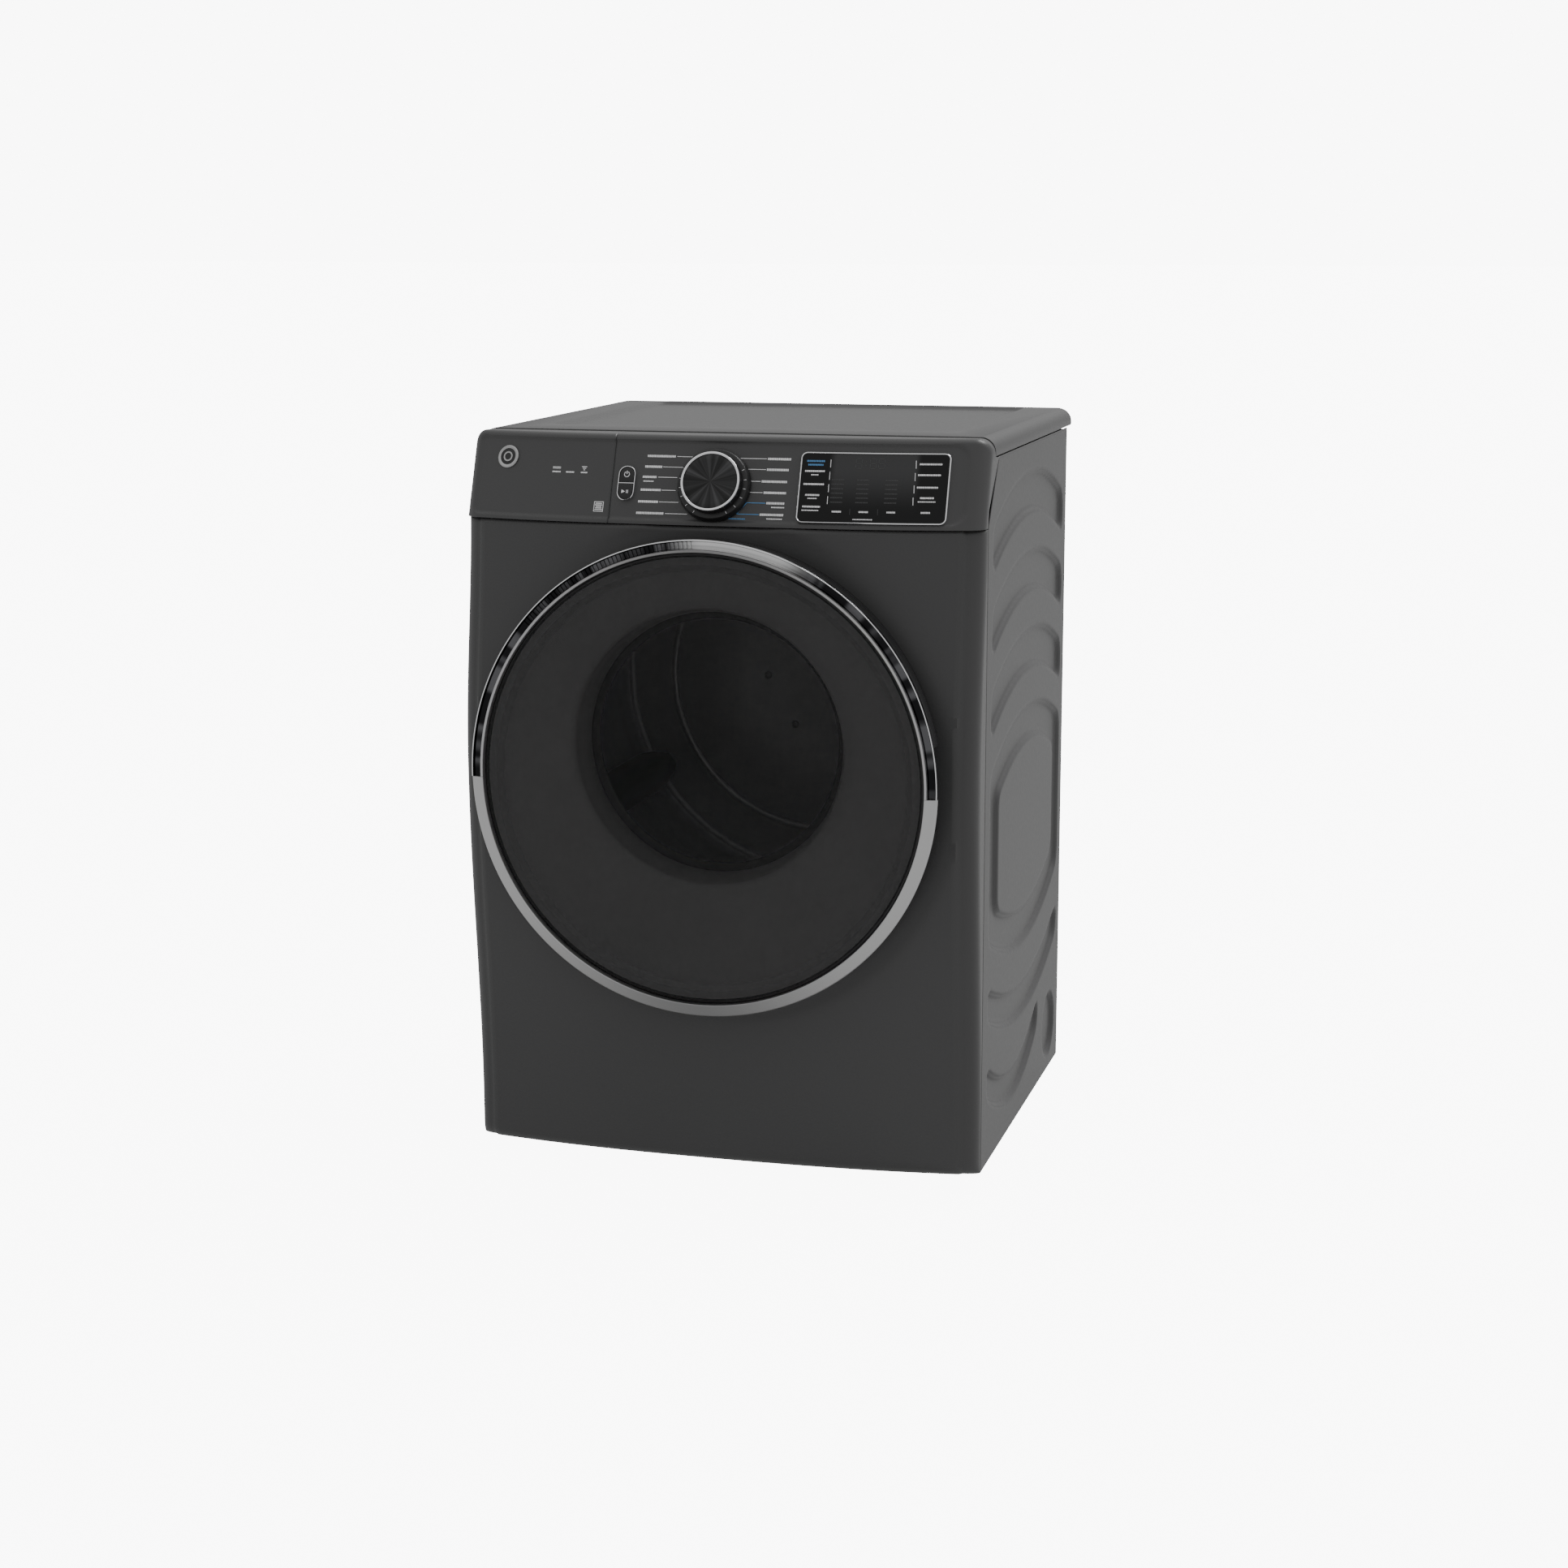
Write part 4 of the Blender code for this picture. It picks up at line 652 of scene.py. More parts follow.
def smooth(low, high, value):
    """0 below low, 1 above high and smooth between."""
    t = min(1.0, max(0.0, (value - low) / (high - low)))
    return t * t * (3 - 2 * t)


def soft_min(a, b, k):
    """The smaller value, with the corner between them rounded over k."""
    h = max(0.0, 1.0 - abs(a - b) / k)
    return min(a, b) - h * h * k * 0.25


def pierced(points, faces, centre, radius, windows):
    """Cut a round hole and windows out of an upright grid, and pull the hole's rim round."""
    cx, cz = centre
    kept, edge, gone = [], set(), set()
    for face in faces:
        x = sum(points[i][0] for i in face) / 4
        z = sum(points[i][2] for i in face) / 4
        if math.hypot(x - cx, z - cz) < radius:
            gone.update(face)
        elif not any(x0 < x < x1 and z0 < z < z1 for (x0, x1), (z0, z1) in windows):
            kept.append(face)
            edge.update(face)
    for i in gone & edge:
        x, y, z = points[i]
        pull = radius / math.hypot(x - cx, z - cz)
        points[i] = (cx + (x - cx) * pull, y, cz + (z - cz) * pull)
    used = sorted(edge)
    index = {old: new for new, old in enumerate(used)}
    return [points[i] for i in used], [tuple(index[i] for i in f) for f in kept]


# ------------------------------------------------------------ repeated shapes, by Geometry Nodes

def scatter_tree():
    """Stand a shape on every point, turned and sized by the point's own attributes."""
    found = bpy.data.node_groups.get("StandOnPoints")
    if found:
        return found
    tree = bpy.data.node_groups.new("StandOnPoints", "GeometryNodeTree")
    for label, kind in (("Geometry", "Geometry"), ("Shape", "Object"), ("Finish", "Material"), ("Size", "Float")):
        tree.interface.new_socket(label, in_out="INPUT", socket_type=f"NodeSocket{kind}")
    tree.interface.new_socket("Geometry", in_out="OUTPUT", socket_type="NodeSocketGeometry")
    nodes = tree.nodes
    entry, leave = nodes.new("NodeGroupInput"), nodes.new("NodeGroupOutput")
    info = nodes.new("GeometryNodeObjectInfo")
    stand = nodes.new("GeometryNodeInstanceOnPoints")
    turn = nodes.new("FunctionNodeEulerToRotation")
    grow = nodes.new("ShaderNodeVectorMath")
    grow.operation = "SCALE"
    stored = []
    for name in ("turn", "size"):
        read = nodes.new("GeometryNodeInputNamedAttribute")
        read.data_type = "FLOAT_VECTOR"
        read.inputs["Name"].default_value = name
        stored.append(read.outputs["Attribute"])
    real = nodes.new("GeometryNodeRealizeInstances")
    paint = nodes.new("GeometryNodeSetMaterial")
    for source, target in (
            (entry.outputs["Shape"], info.inputs["Object"]), (entry.outputs["Geometry"], stand.inputs["Points"]),
            (info.outputs["Geometry"], stand.inputs["Instance"]), (stored[0], turn.inputs[0]),
            (turn.outputs[0], stand.inputs["Rotation"]), (stored[1], grow.inputs[0]),
            (entry.outputs["Size"], grow.inputs["Scale"]), (grow.outputs[0], stand.inputs["Scale"]),
            (stand.outputs[0], real.inputs[0]), (real.outputs[0], paint.inputs[0]),
            (entry.outputs["Finish"], paint.inputs["Material"]), (paint.outputs[0], leave.inputs[0])):
        tree.links.new(source, target)
    return tree


def scatter(name, spots, shape, body, look):
    """Spots are (place, turn, size) in the cabinet's frame; the result is one plain mesh."""
    stamp = add_object(name + "_shape", make_mesh(name + "_shape", shape, 1e-7))
    cloud = bpy.data.meshes.new(name)
    cloud.from_pydata([s[0] for s in spots], [], [])
    for key, index in (("turn", 1), ("size", 2)):
        store = cloud.attributes.new(key, "FLOAT_VECTOR", "POINT")
        for k, spot in enumerate(spots):
            store.data[k].vector = spot[index]
    holder = add_object(name, cloud)
    tree = scatter_tree()
    step = holder.modifiers.new("Stand", "NODES")
    step.node_group = tree
    sockets = {s.name: s.identifier for s in tree.interface.items_tree if s.in_out == "INPUT"}
    step[sockets["Shape"]] = stamp
    step[sockets["Finish"]] = finish(look)
    step[sockets["Size"]] = 1.0
    bpy.context.view_layer.update()
    mesh = plain_mesh(holder)
    bpy.data.objects.remove(holder, do_unlink=True)
    bpy.data.objects.remove(stamp, do_unlink=True)
    mesh.name = name
    place_mesh(mesh, 30)
    piece = add_object(name, mesh)
    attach(piece, body)


SCREW = turned_z([(0, -0.3), (1.0, -0.3), (1.0, 0.15), (0.82, 0.42), (0.45, 0.52), (0.40, 0.18), (0, 0.18)], 12)
UNIT_BLOCK = block((-0.5, -0.5, -0.5), (0.5, 0.5, 0.5))


# ------------------------------------------------------------ cabinet

def bell(z):
    """How far the front's side edge stands forward at a height."""
    reach = BULGE_UP if z > DOOR_Z else BULGE_DOWN
    share = min(1.0, abs(z - DOOR_Z) / reach)
    return 0.001 + EDGE_BULGE * math.cos(math.pi / 2 * share) ** 2


def curl(z):
    """How far the front's lower edge rolls back."""
    return 0.0 if z >= CURL_R else CURL_R - math.sqrt(CURL_R ** 2 - (CURL_R - z) ** 2)


def front_point(x, z, angle):
    """A point of the front panel; the flat seat behind the door has a soft edge."""
    if angle is None:
        return x, -SEAM, z
    bow = BOW_BOTTOM + (BOW_TOP - BOW_BOTTOM) * z / PANEL_TOP
    y = -bell(z) - (CORNER_R - curl(z)) * math.sin(math.radians(angle))
    if angle == 90:
        y -= bow * (1 - min(1.0, abs(x) / HALF) ** 2.5)
    radius = math.hypot(x, z - DOOR_Z)
    seat = -soft_min(-y, -LAND_Y - 0.0012, 0.004) if radius > 0.30 else LAND_Y + 0.0012
    return x, seat + (y - seat) * smooth(DISH_R, DISH_R + 0.012, radius), z


def front_panel():
    slot_x, slot_z = (-0.297, -0.274), (DOOR_Z - 0.018, DOOR_Z + 0.018)
    hole_x, hole_z = (-0.2685, -0.2555), (DOOR_Z + 0.0755, DOOR_Z + 0.0885)
    flat = HALF - CORNER_R
    corner = [(CORNER_R * (1 - math.cos(math.radians(a))), a) for a in range(0, 90, 9)]
    inner = sorted({round(-flat + 2 * flat * k / 104, 5) for k in range(105)} | {*slot_x, *hole_x})
    stations = [(-HALF, None)] + [(-HALF + d, a) for d, a in corner] + [(x, 90) for x in inner]
    stations += [(HALF - d, a) for d, a in reversed(corner)] + [(HALF, None)]
    heights = [CURL_R * (1 - math.cos(math.radians(a))) for a in range(0, 91, 10)]
    heights += [CURL_R + (PANEL_TOP - CURL_R) * k / 132 for k in range(1, 133)]
    heights = sorted({round(z, 5) for z in heights} | {*slot_z, *hole_z})
    columns = [[front_point(x, z, a) for z in heights] for x, a in stations]
    shape = pierced(*loft(columns, cyclic=False), (0.0, DRUM_Z), LOADING_R, ((slot_x, slot_z), (hole_x, hole_z)))
    put("front_panel_skin", shape, "cabinet", "enamel", ("front_panel",), 50,
        toward=(0, -1, 0), wall=SHEET)


def arch(y, y0, y1, z_end, rise):
    """Height of a parabola between y0 and y1."""
    t = (y - y0) / (y1 - y0)
    return z_end + rise * 4 * t * (1 - t)


def channel(y, z, y0, y1, low, high):
    """Distance inside a channel between two arches, each given as (height at its ends, rise)."""
    bottom = z - arch(y, y0, y1, *low)
    top = arch(y, y0, y1, *high) - z
    ends = min(y - y0, y1 - y)
    return soft_min(soft_min(bottom, top, 0.006), ends, 0.022)


def pressing(y, z):
    """How much of the full depth the side panel is pressed in at a point, from 0 to 1."""
    wall = 0.0075
    best = 0.0
    for z_end in (0.820, 0.710, 0.600):
        best = max(best, smooth(0, wall, channel(y, z, 0.035, 0.557, (z_end - 0.014, 0.056), (z_end + 0.048, 0.054))))
    best = max(best, smooth(0, wall, channel(y, z, 0.035, 0.557, (0.200, -0.056), (0.248, -0.054))))
    best = max(best, smooth(0, wall, channel(y, z, 0.035, 0.415, (0.093, -0.054), (0.139, -0.054))))
    best = max(best, smooth(0, wall, 0.050 - math.hypot(y - 0.505, z - 0.069)))
    outer = channel(y, z, 0.035, 0.557, (0.310, -0.060), (0.537, 0.056))
    inner = channel(y, z, 0.088, 0.510, (0.338, -0.041), (0.505, 0.042))
    return max(best, smooth(0, wall, outer) * (1 - smooth(0, wall, inner)))


def side_panels():
    depth = shape_settings().press_depth
    rows, across = 256, 150
    grid = []
    for j in range(rows + 1):
        z = SIDE_TOP * j / rows
        start = 0.0 if z < PANEL_TOP else (z - PANEL_TOP) / (SIDE_TOP - PANEL_TOP) * (TOP_SEAM_Y + 0.0225)
        grid.append([(start + (SIDE_DEPTH - start) * i / across, z) for i in range(across + 1)])
    presses = [[pressing(y, z) * depth for y, z in row] for row in grid]
    for name, side in (("left", -1), ("right", 1)):
        rings = [[(side * (HALF - drop), y, z) for (y, z), drop in zip(row, drops)]
                 for row, drops in zip(grid, presses)]
        put(f"side_skin_{name}", loft(rings, cyclic=False), "cabinet", "enamel",
            (f"side_panel_{name}",), 60, toward=(side, 0, 0), wall=SHEET)


def lid_ring(inset, front, rear, z, radius, steps=8):
    """A ring of the lid: straight at its front, round at its two rear corners."""
    x, back = HALF - inset, REAR - rear
    points = [(-x, front, z), (x, front, z)]
    for quarter in (0, 1):
        for k in range(steps + 1):
            a = math.radians(90 * (quarter + k / steps))
            sx = 1 if quarter == 0 else -1
            points.append((sx * (x - radius) + radius * math.cos(a), back - radius + radius * math.sin(a), z))
    return points


def field_ring(grow, z, steps=8):
    front, rear = TOP_SEAM_Y + 0.0806, REAR - 0.0195
    radius = 0.023 + grow
    width, length = 2 * (HALF - 0.0655 + grow), rear - front + 2 * grow
    outline = rounded_rectangle(width, length, radius, steps, (0, (front + rear) / 2))
    return [(x, y, z) for x, y in outline]


def lid():
    """The top panel: rounded side and rear edges, a skirt and a sunken field."""
    drop = shape_settings().field_drop
    wall = 0.013
    rings = [field_ring(-wall * (1 - k / 8), HEIGHT - drop * (1 - smooth(0, 1, k / 8))) for k in range(9)]
    count = len(rings[0])
    points, faces = loft([field_ring(-wall - 0.002, HEIGHT - drop)] + rings)
    faces.append(tuple(range(count)))
    r = TOP_EDGE_R
    front = TOP_SEAM_Y + SEAM
    outer = [lid_ring(r, front + 0.0012, r, HEIGHT, 0.004)]
    outer += [lid_ring(r * (1 - math.sin(a)), front + 0.0012 * max(0.0, 1 - 2 * math.sin(a)) ** 2,
                       r * (1 - math.sin(a)), HEIGHT - r * (1 - math.cos(a)), 0.004 + (r - 0.004) * math.sin(a))
              for a in (math.radians(9 * k) for k in range(1, 11))]
    outer += [lid_ring(0, front, 0, HEIGHT - SKIRT + 0.0015, r), lid_ring(0.0008, front, 0.0008, HEIGHT - SKIRT, r),
              lid_ring(0.010, front, 0.010, HEIGHT - SKIRT, r)]
    base = len(points)
    more, more_faces = loft(outer)
    bm = bmesh.new()
    made = [bm.verts.new(p) for p in points + more]
    for f in faces + [[i + base for i in f] for f in more_faces]:
        bm.faces.new([made[i] for i in f])
    rims = made[base - count:base], made[base:base + len(outer[0])]
    edges = [bm.edges.get(pair) for rim in rims for pair in zip(rim, rim[1:] + rim[:1])]
    bmesh.ops.triangle_fill(bm, use_beauty=True, edges=edges)
    bm.verts.index_update()
    shape = [tuple(v.co) for v in bm.verts], [tuple(v.index for v in f.verts) for f in bm.faces]
    bm.free()
    put("lid_skin", shape, "cabinet", "enamel", ("top_panel",), 35,
        toward=(0, 0, 1), wall=SHEET)


class DRYER_OT_cabinet(bpy.types.Operator):
    """Make the front panel, the pressed side panels and the lid"""

    bl_idname = "dryer.cabinet"
    bl_label = "Cabinet"

    def execute(self, context):
        front_panel()
        side_panels()
        lid()
        return {"FINISHED"}


# ------------------------------------------------------------ console

def console_lift(x):
    return CONSOLE_BOW * (1 - min(1.0, abs(x) / HALF) ** 3)


FACE_RISE = (HEIGHT - CONSOLE_TOP_R * (1 - math.sin(CONSOLE_TILT)) - CONSOLE_BOTTOM) / math.cos(CONSOLE_TILT)


def recess(x, up):
    """How far the face lies behind the console's soft border."""
    centre_x, half_x = -0.0058, 0.3377
    low, high = 0.0050, FACE_RISE + 0.0010
    radius = 0.022 if x > 0 else 0.010
    qx = abs(x - centre_x) - (half_x - radius)
    qy = abs(up - (low + high) / 2) - ((high - low) / 2 - radius)
    inside = radius - (math.hypot(max(qx, 0), max(qy, 0)) + min(max(qx, qy), 0))
    return shape_settings().console_recess * smooth(0, 0.0045, inside)


def console_column(x, back, drop, rows=72):
    """The console's section at x, from its foot up over its top to the lid."""
    lean, height = math.sin(CONSOLE_TILT), math.cos(CONSOLE_TILT)
    foot = -CONSOLE_REACH + back
    centre_z = HEIGHT - drop - CONSOLE_TOP_R
    edge_z = centre_z + CONSOLE_TOP_R * lean
    length = (edge_z - CONSOLE_BOTTOM) / height
    edge_y = foot + length * lean
    centre_y = edge_y + CONSOLE_TOP_R * height
    points = [(foot + CONSOLE_LIP, CONSOLE_BOTTOM), (foot + 0.0008, CONSOLE_BOTTOM),
              (foot + 0.0002, CONSOLE_BOTTOM + 0.0004)]
    for k in range(1, rows):
        up = 0.0012 + (length - 0.0012) * k / rows
        dent = recess(x, up)
        points.append((foot + up * lean + dent * height, CONSOLE_BOTTOM + up * height - dent * lean))
    for k in range(9):
        a = math.pi - CONSOLE_TILT + (math.pi / 2 - math.pi + CONSOLE_TILT) * k / 8
        points.append((centre_y + CONSOLE_TOP_R * math.cos(a), centre_z + CONSOLE_TOP_R * math.sin(a)))
    for k in range(1, 5):
        points.append((centre_y + (TOP_SEAM_Y - 0.0030 - centre_y) * k / 4, HEIGHT - drop - TOP_FALL * k / 4))
    points += [(TOP_SEAM_Y - 0.0018, HEIGHT - drop - TOP_FALL - 0.0005),
               (TOP_SEAM_Y - 0.0010, HEIGHT - drop - TOP_FALL - 0.0016),
               (TOP_SEAM_Y - 0.0008, HEIGHT - drop - TOP_FALL - 0.0030)]
    lift = console_lift(x)
    strip = TOP_SEAM_Y - centre_y
    return [(x, y - lift * min(1.0, (TOP_SEAM_Y - y) / strip), z) for y, z in points]


def console_part(name, x0, x1, end, node):
    flat = HALF - CONSOLE_CORNER_R
    inner, outer = (x1, -flat) if end < 0 else (x0, flat)
    count = round(abs(outer - inner) / 0.0035)
    stations = [(inner + (outer - inner) * k / count, 0.0, 0.0) for k in range(count + 1)]
    for k in range(1, 11):
        a = math.radians(90 - 9 * k)
        round_off = 1 - math.sin(a)
        stations.append((end * (HALF - CONSOLE_CORNER_R * (1 - math.cos(a))), CONSOLE_CORNER_R * round_off,
                         CONSOLE_CORNER_DROP * round_off))
    columns = [console_column(*s) for s in stations]
    points, faces = loft(columns, cyclic=False)
    side = end * HALF
    rows = len(columns[0])
    seam = [(side, TOP_SEAM_Y, HEIGHT - SKIRT - 0.0005), (side, TOP_SEAM_Y + 0.021, SIDE_TOP - 0.0006),
            (side, 0.0033, SIDE_TOP - 0.0653)]
    start = len(points)
    faces.append(tuple(range(start - rows, start + len(seam))))
    put(name, (points + seam, faces), "cabinet", "enamel", (node,), 45,
        toward=(0, -1, 1), wall=0.0022)


def face_matrix(x, up):
    """A frame on the console's face at (x, up): X along it, Y up it and Z out of it."""
    slope = -3 * CONSOLE_BOW * x * abs(x) / HALF ** 3
    lean, height = math.sin(CONSOLE_TILT), math.cos(CONSOLE_TILT)
    origin = Vector((x, -CONSOLE_REACH - console_lift(x) + up * lean, CONSOLE_BOTTOM + up * height))
    right = Vector((1, -slope, 0)).normalized()
    upward = Vector((0, lean, height))
    normal = right.cross(upward).normalized()
    frame = Matrix((right, normal.cross(right), normal)).transposed().to_4x4()
    frame.translation = origin
    return frame


def face_point(x, up, offset):
    return tuple(face_matrix(x, up) @ Vector(offset))


def on_face(shape, x, up, bent=True):
    """Move a shape from the face's own coordinates, about (x, up), onto the face."""
    points, faces = shape
    if bent:
        return [face_point(x + px, up + py, (0, 0, pz)) for px, py, pz in points], faces
    return [face_point(x, up, point) for point in points], faces


def plate_rings(width, height, radius, layers):
    """Rounded rectangles at (inset, height) layers, cut finely along X so that they bend cleanly."""
    rings = []
    for inset, z in layers:
        ring = rounded_rectangle(width - 2 * inset, height - 2 * inset, max(0.0003, radius - inset))
        dense = []
        for a, b in zip(ring, ring[1:] + ring[:1]):
            cuts = max(1, round(abs(b[0] - a[0]) / (width / 24)))
            dense += [(a[0] + (b[0] - a[0]) * k / cuts, a[1] + (b[1] - a[1]) * k / cuts, z) for k in range(cuts)]
        rings.append(dense)
    return rings


def frame_plate(width, height, radius, border, low, high, edge=0.0006):
    """A hollow rounded frame, closed all round."""
    rings = plate_rings(width, height, radius, [
        (0, low), (0, high - edge), (edge, high), (border - edge, high), (border, high - edge), (border, low)])
    if len({len(ring) for ring in rings}) > 1:
        rings = [resample(ring, 120) for ring in rings]
    return loft(rings, closed=True)


def resample(ring, count):
    """The same closed ring with count points, spaced evenly from its first point."""
    loop = [Vector(p) for p in ring]
    loop.append(loop[0])
    lengths = [0.0]
    for a, b in zip(loop, loop[1:]):
        lengths.append(lengths[-1] + (b - a).length)
    out, index = [], 0
    for k in range(count):
        goal = lengths[-1] * k / count
        while lengths[index + 1] < goal:
            index += 1
        span = max(1e-12, lengths[index + 1] - lengths[index])
        out.append(tuple(loop[index].lerp(loop[index + 1], (goal - lengths[index]) / span)))
    return out


def filled_plate(width, height, radius, low, high):
    """A rounded plate whose top is cut into columns, so that it bends cleanly."""
    xs = sorted({-width / 2 + width * k / 40 for k in range(41)}
                | {s * (width / 2 - radius + radius * math.sin(math.radians(15 * k)))
                   for k in range(7) for s in (-1, 1)})
    edge = []
    for x in xs:
        over = max(0.0, abs(x) - (width / 2 - radius))
        edge.append((x, height / 2 - radius + math.sqrt(max(0.0, radius ** 2 - over ** 2))))
    rings = [[(x, side * reach, z) for x, reach in edge] for side, z in ((1, high), (-1, high), (-1, low), (1, low))]
    return loft(rings, cyclic=False, closed=True, caps=True)


class DRYER_OT_console(bpy.types.Operator):
    """Make the console's two mouldings and the badge disc"""

    bl_idname = "dryer.console"
    bl_label = "Console"

    def execute(self, context):
        console_part("console_fascia_skin", SPLIT_X, HALF, 1, "console_fascia")
        console_part("console_cover_skin", -HALF, SPLIT_X - SEAM, -1, "console_side_cover")
        recess_depth = shape_settings().console_recess
        rim = turned_z(rounded_path([(0.0112, -recess_depth), (0.0158, -recess_depth), (0.0156, -0.0006),
                                     (0.0140, 0.0002), (0.0113, -0.0004)], 0.0003), 64)
        put("badge_rim", on_face(rim, *BADGE, False), "cabinet", "silver")
        disc = turned_z([(0, -recess_depth), (0.0117, -recess_depth), (0.0117, -0.0012), (0.0095, -0.0010),
                         (0.0060, -0.0008), (0, -0.0008)], 48)
        put("badge_disc", on_face(disc, *BADGE, False), "cabinet", "black")
        core = turned_z([(0.0046, -0.0014), (0.0070, -0.0014), (0.0068, -0.0003), (0.0048, -0.0003)], 48)
        put("badge_core", on_face(core, *BADGE, False), "cabinet", "silver")
        return {"FINISHED"}


def point_on(x, up, out):
    """A point above the sunken face."""
    return face_point(x, up, (0, 0, out - recess(x, up)))


def turn_on(x, up, spin=0.0):
    return tuple((face_matrix(x, up).to_3x3() @ Matrix.Rotation(spin, 3, "Z")).to_euler())


# ------------------------------------------------------------ controls

class DRYER_OT_controls(bpy.types.Operator):
    """Make the dial, the two push buttons and the display"""

    bl_idname = "dryer.controls"
    bl_label = "Controls"

    def execute(self, context):
        sink = shape_settings().console_recess + 0.0003
        skirt = rounded_path([(0.0090, -sink), (0.0495, -sink), (0.0493, 0.0030), (0.0465, 0.0082),
                              (0.0415, 0.0086), (0.0090, 0.0086)], 0.0010, 4)
        put("dial_collar", on_face(turned_z(skirt), 0, DIAL_UP, False), "cabinet", "black",
            ("dial_skirt",))
        side = rounded_path([(0.0060, 0.0090), (0.0402, 0.0090), (0.0398, 0.0195), (0.0370, 0.0200),
                             (0.0362, 0.0192), (0.0060, 0.0190)], 0.0006, 3)
        put("dial_body", on_face(turned_z(side, 128), 0, DIAL_UP, False), "cycle_knob", "black",
            ("cycle_knob",))
        ring = rounded_path([(0.0362, 0.0188), (0.0400, 0.0186), (0.0398, 0.0216), (0.0384, 0.0222),
                             (0.0366, 0.0216)], 0.0008, 4)
        put("dial_ring", on_face(turned_z(ring, 128), 0, DIAL_UP, False), "cycle_knob", "bright")
        face = [(0, 0.0186), (0.0361, 0.0186), (0.0361, 0.0204), (0.0352, 0.0209), (0.0300, 0.0207),
                (0.0200, 0.0202), (0.0100, 0.0200), (0, 0.0199)]
        put("dial_disc", on_face(turned_z(face, 128), 0, DIAL_UP, False), "cycle_knob", "dial_face")
        knurl = []
        for k in range(96):
            a = math.tau * k / 96
            place = face_point(0, DIAL_UP, (0.04005 * math.cos(a), 0.04005 * math.sin(a), 0.0140))
            knurl.append((place, turn_on(0, DIAL_UP, a), (0.0006, 0.0013, 0.0090)))
        scatter("dial_knurl", knurl, UNIT_BLOCK, "cycle_knob", "black")
        ticks = []
        for degrees in (8, -8, -24, -42, -60, 172, 188, 204, 222, 240, 26, 154):
            a = math.radians(degrees)
            place = face_point(0, DIAL_UP, (0.0441 * math.cos(a), 0.0441 * math.sin(a), 0.0085))
            ticks.append((place, turn_on(0, DIAL_UP, a), (0.0034, 0.0006, 0.0004)))
        scatter("dial_ticks", ticks, UNIT_BLOCK, "cabinet", "print")
        self.buttons(sink)
        self.display(sink)
        return {"FINISHED"}

    def buttons(self, sink):
        width, height = 0.0235, 0.047
        ring = frame_plate(width, height, width / 2 - 0.0004, 0.0013, -sink, 0.0024)
        put("button_ring", on_face(ring, PILL_X, DIAL_UP, False), "cabinet", "bright",
            ("button_surround",))
        floor = 0.0006 - sink
        bed = filled_plate(width - 0.002, height - 0.002, width / 2 - 0.0011, -sink - 0.0004, floor)
        put("button_bed", on_face(bed, PILL_X, DIAL_UP, False), "cabinet", "black")
        bar = block((-width / 2 + 0.0008, -0.0004, floor - 0.0002), (width / 2 - 0.0008, 0.0004, 0.0018))
        put("button_divider", on_face(bar, PILL_X, DIAL_UP, False), "cabinet", "bright")
        inner, tall = width - 0.0042, height - 0.0042
        gap = 0.0008
        for name, sign in (("power_button", 1), ("start_button", -1)):
            outline = rounded_rectangle(inner, tall, inner / 2 - 0.0003, 10)
            half = [(x, max(y * sign, gap) * sign) for x, y in outline]
            line = [p for k, p in enumerate(half) if p != half[k - 1]]
            line = [p for p in line if abs(p[1]) > gap + 1e-5]
            line = [(inner / 2, gap * sign)] + sorted(line, key=lambda p: math.atan2(p[1] * sign, p[0])) \
                + [(-inner / 2, gap * sign)]
            mid = (0.0, sign * tall / 4)
            rings = []
            for shrink, z in ((0.0, floor + PRESS_ROOM), (0.0, 0.0012), (0.0005, 0.0017), (0.0012, 0.0019)):
                rings.append([(x + (mid[0] - x) * shrink / 0.009, y + (mid[1] - y) * shrink / 0.009, z)
                              for x, y in line])
            cap = loft(rings, caps=True)
            put(f"{name}_cap", on_face(cap, PILL_X, DIAL_UP, False), name, "gloss", (name,))
        arc = [(0.0035 * math.cos(a), 0.0117 + 0.0035 * math.sin(a)) for a in
               (math.radians(125 + 290 * k / 28) for k in range(29))]
        marks = [(p, math.atan2(p[1] - 0.0117, p[0]), (0.0009, 0.00085, 0.0003)) for p in arc]
        marks.append(((0.0, 0.0142), 0.0, (0.0009, 0.0044, 0.0003)))
        self.pictogram("power_sign", marks, "power_button")
        bars = [((x, -0.0117), 0.0, (0.0008, 0.0044, 0.0003)) for x in (0.0018, 0.0037)]
        bars += [((-0.0048 + 0.0004 * k, -0.0117), 0.0, (0.00042, 0.0046 * (1 - k / 12), 0.0003)) for k in range(12)]
        self.pictogram("start_sign", bars, "start_button")

    def pictogram(self, name, marks, body):
        """Print a sign from ((x, y), spin, size) bars on a button's cap."""
        spots = [(face_point(PILL_X, DIAL_UP, (x, y, 0.0020)), turn_on(PILL_X, DIAL_UP, spin), size)
                 for (x, y), spin, size in marks]
        scatter(name, spots, UNIT_BLOCK, body, "print")

    def display(self, sink):
        width, height = 0.194, 0.095
        ring = frame_plate(width, height, 0.0085, 0.0017, -sink, 0.0030)
        put("display_rim", on_face(ring, DISPLAY_X, DIAL_UP), "cabinet", "bright",
            ("display_frame",))
        pane = filled_plate(width - 0.0030, height - 0.0030, 0.0072, -sink, 0.0010)
        put("display_pane", on_face(pane, DISPLAY_X, DIAL_UP), "cabinet", "display",
            ("display_lens",))


# ------------------------------------------------------------ printed marks, all of them plain bars

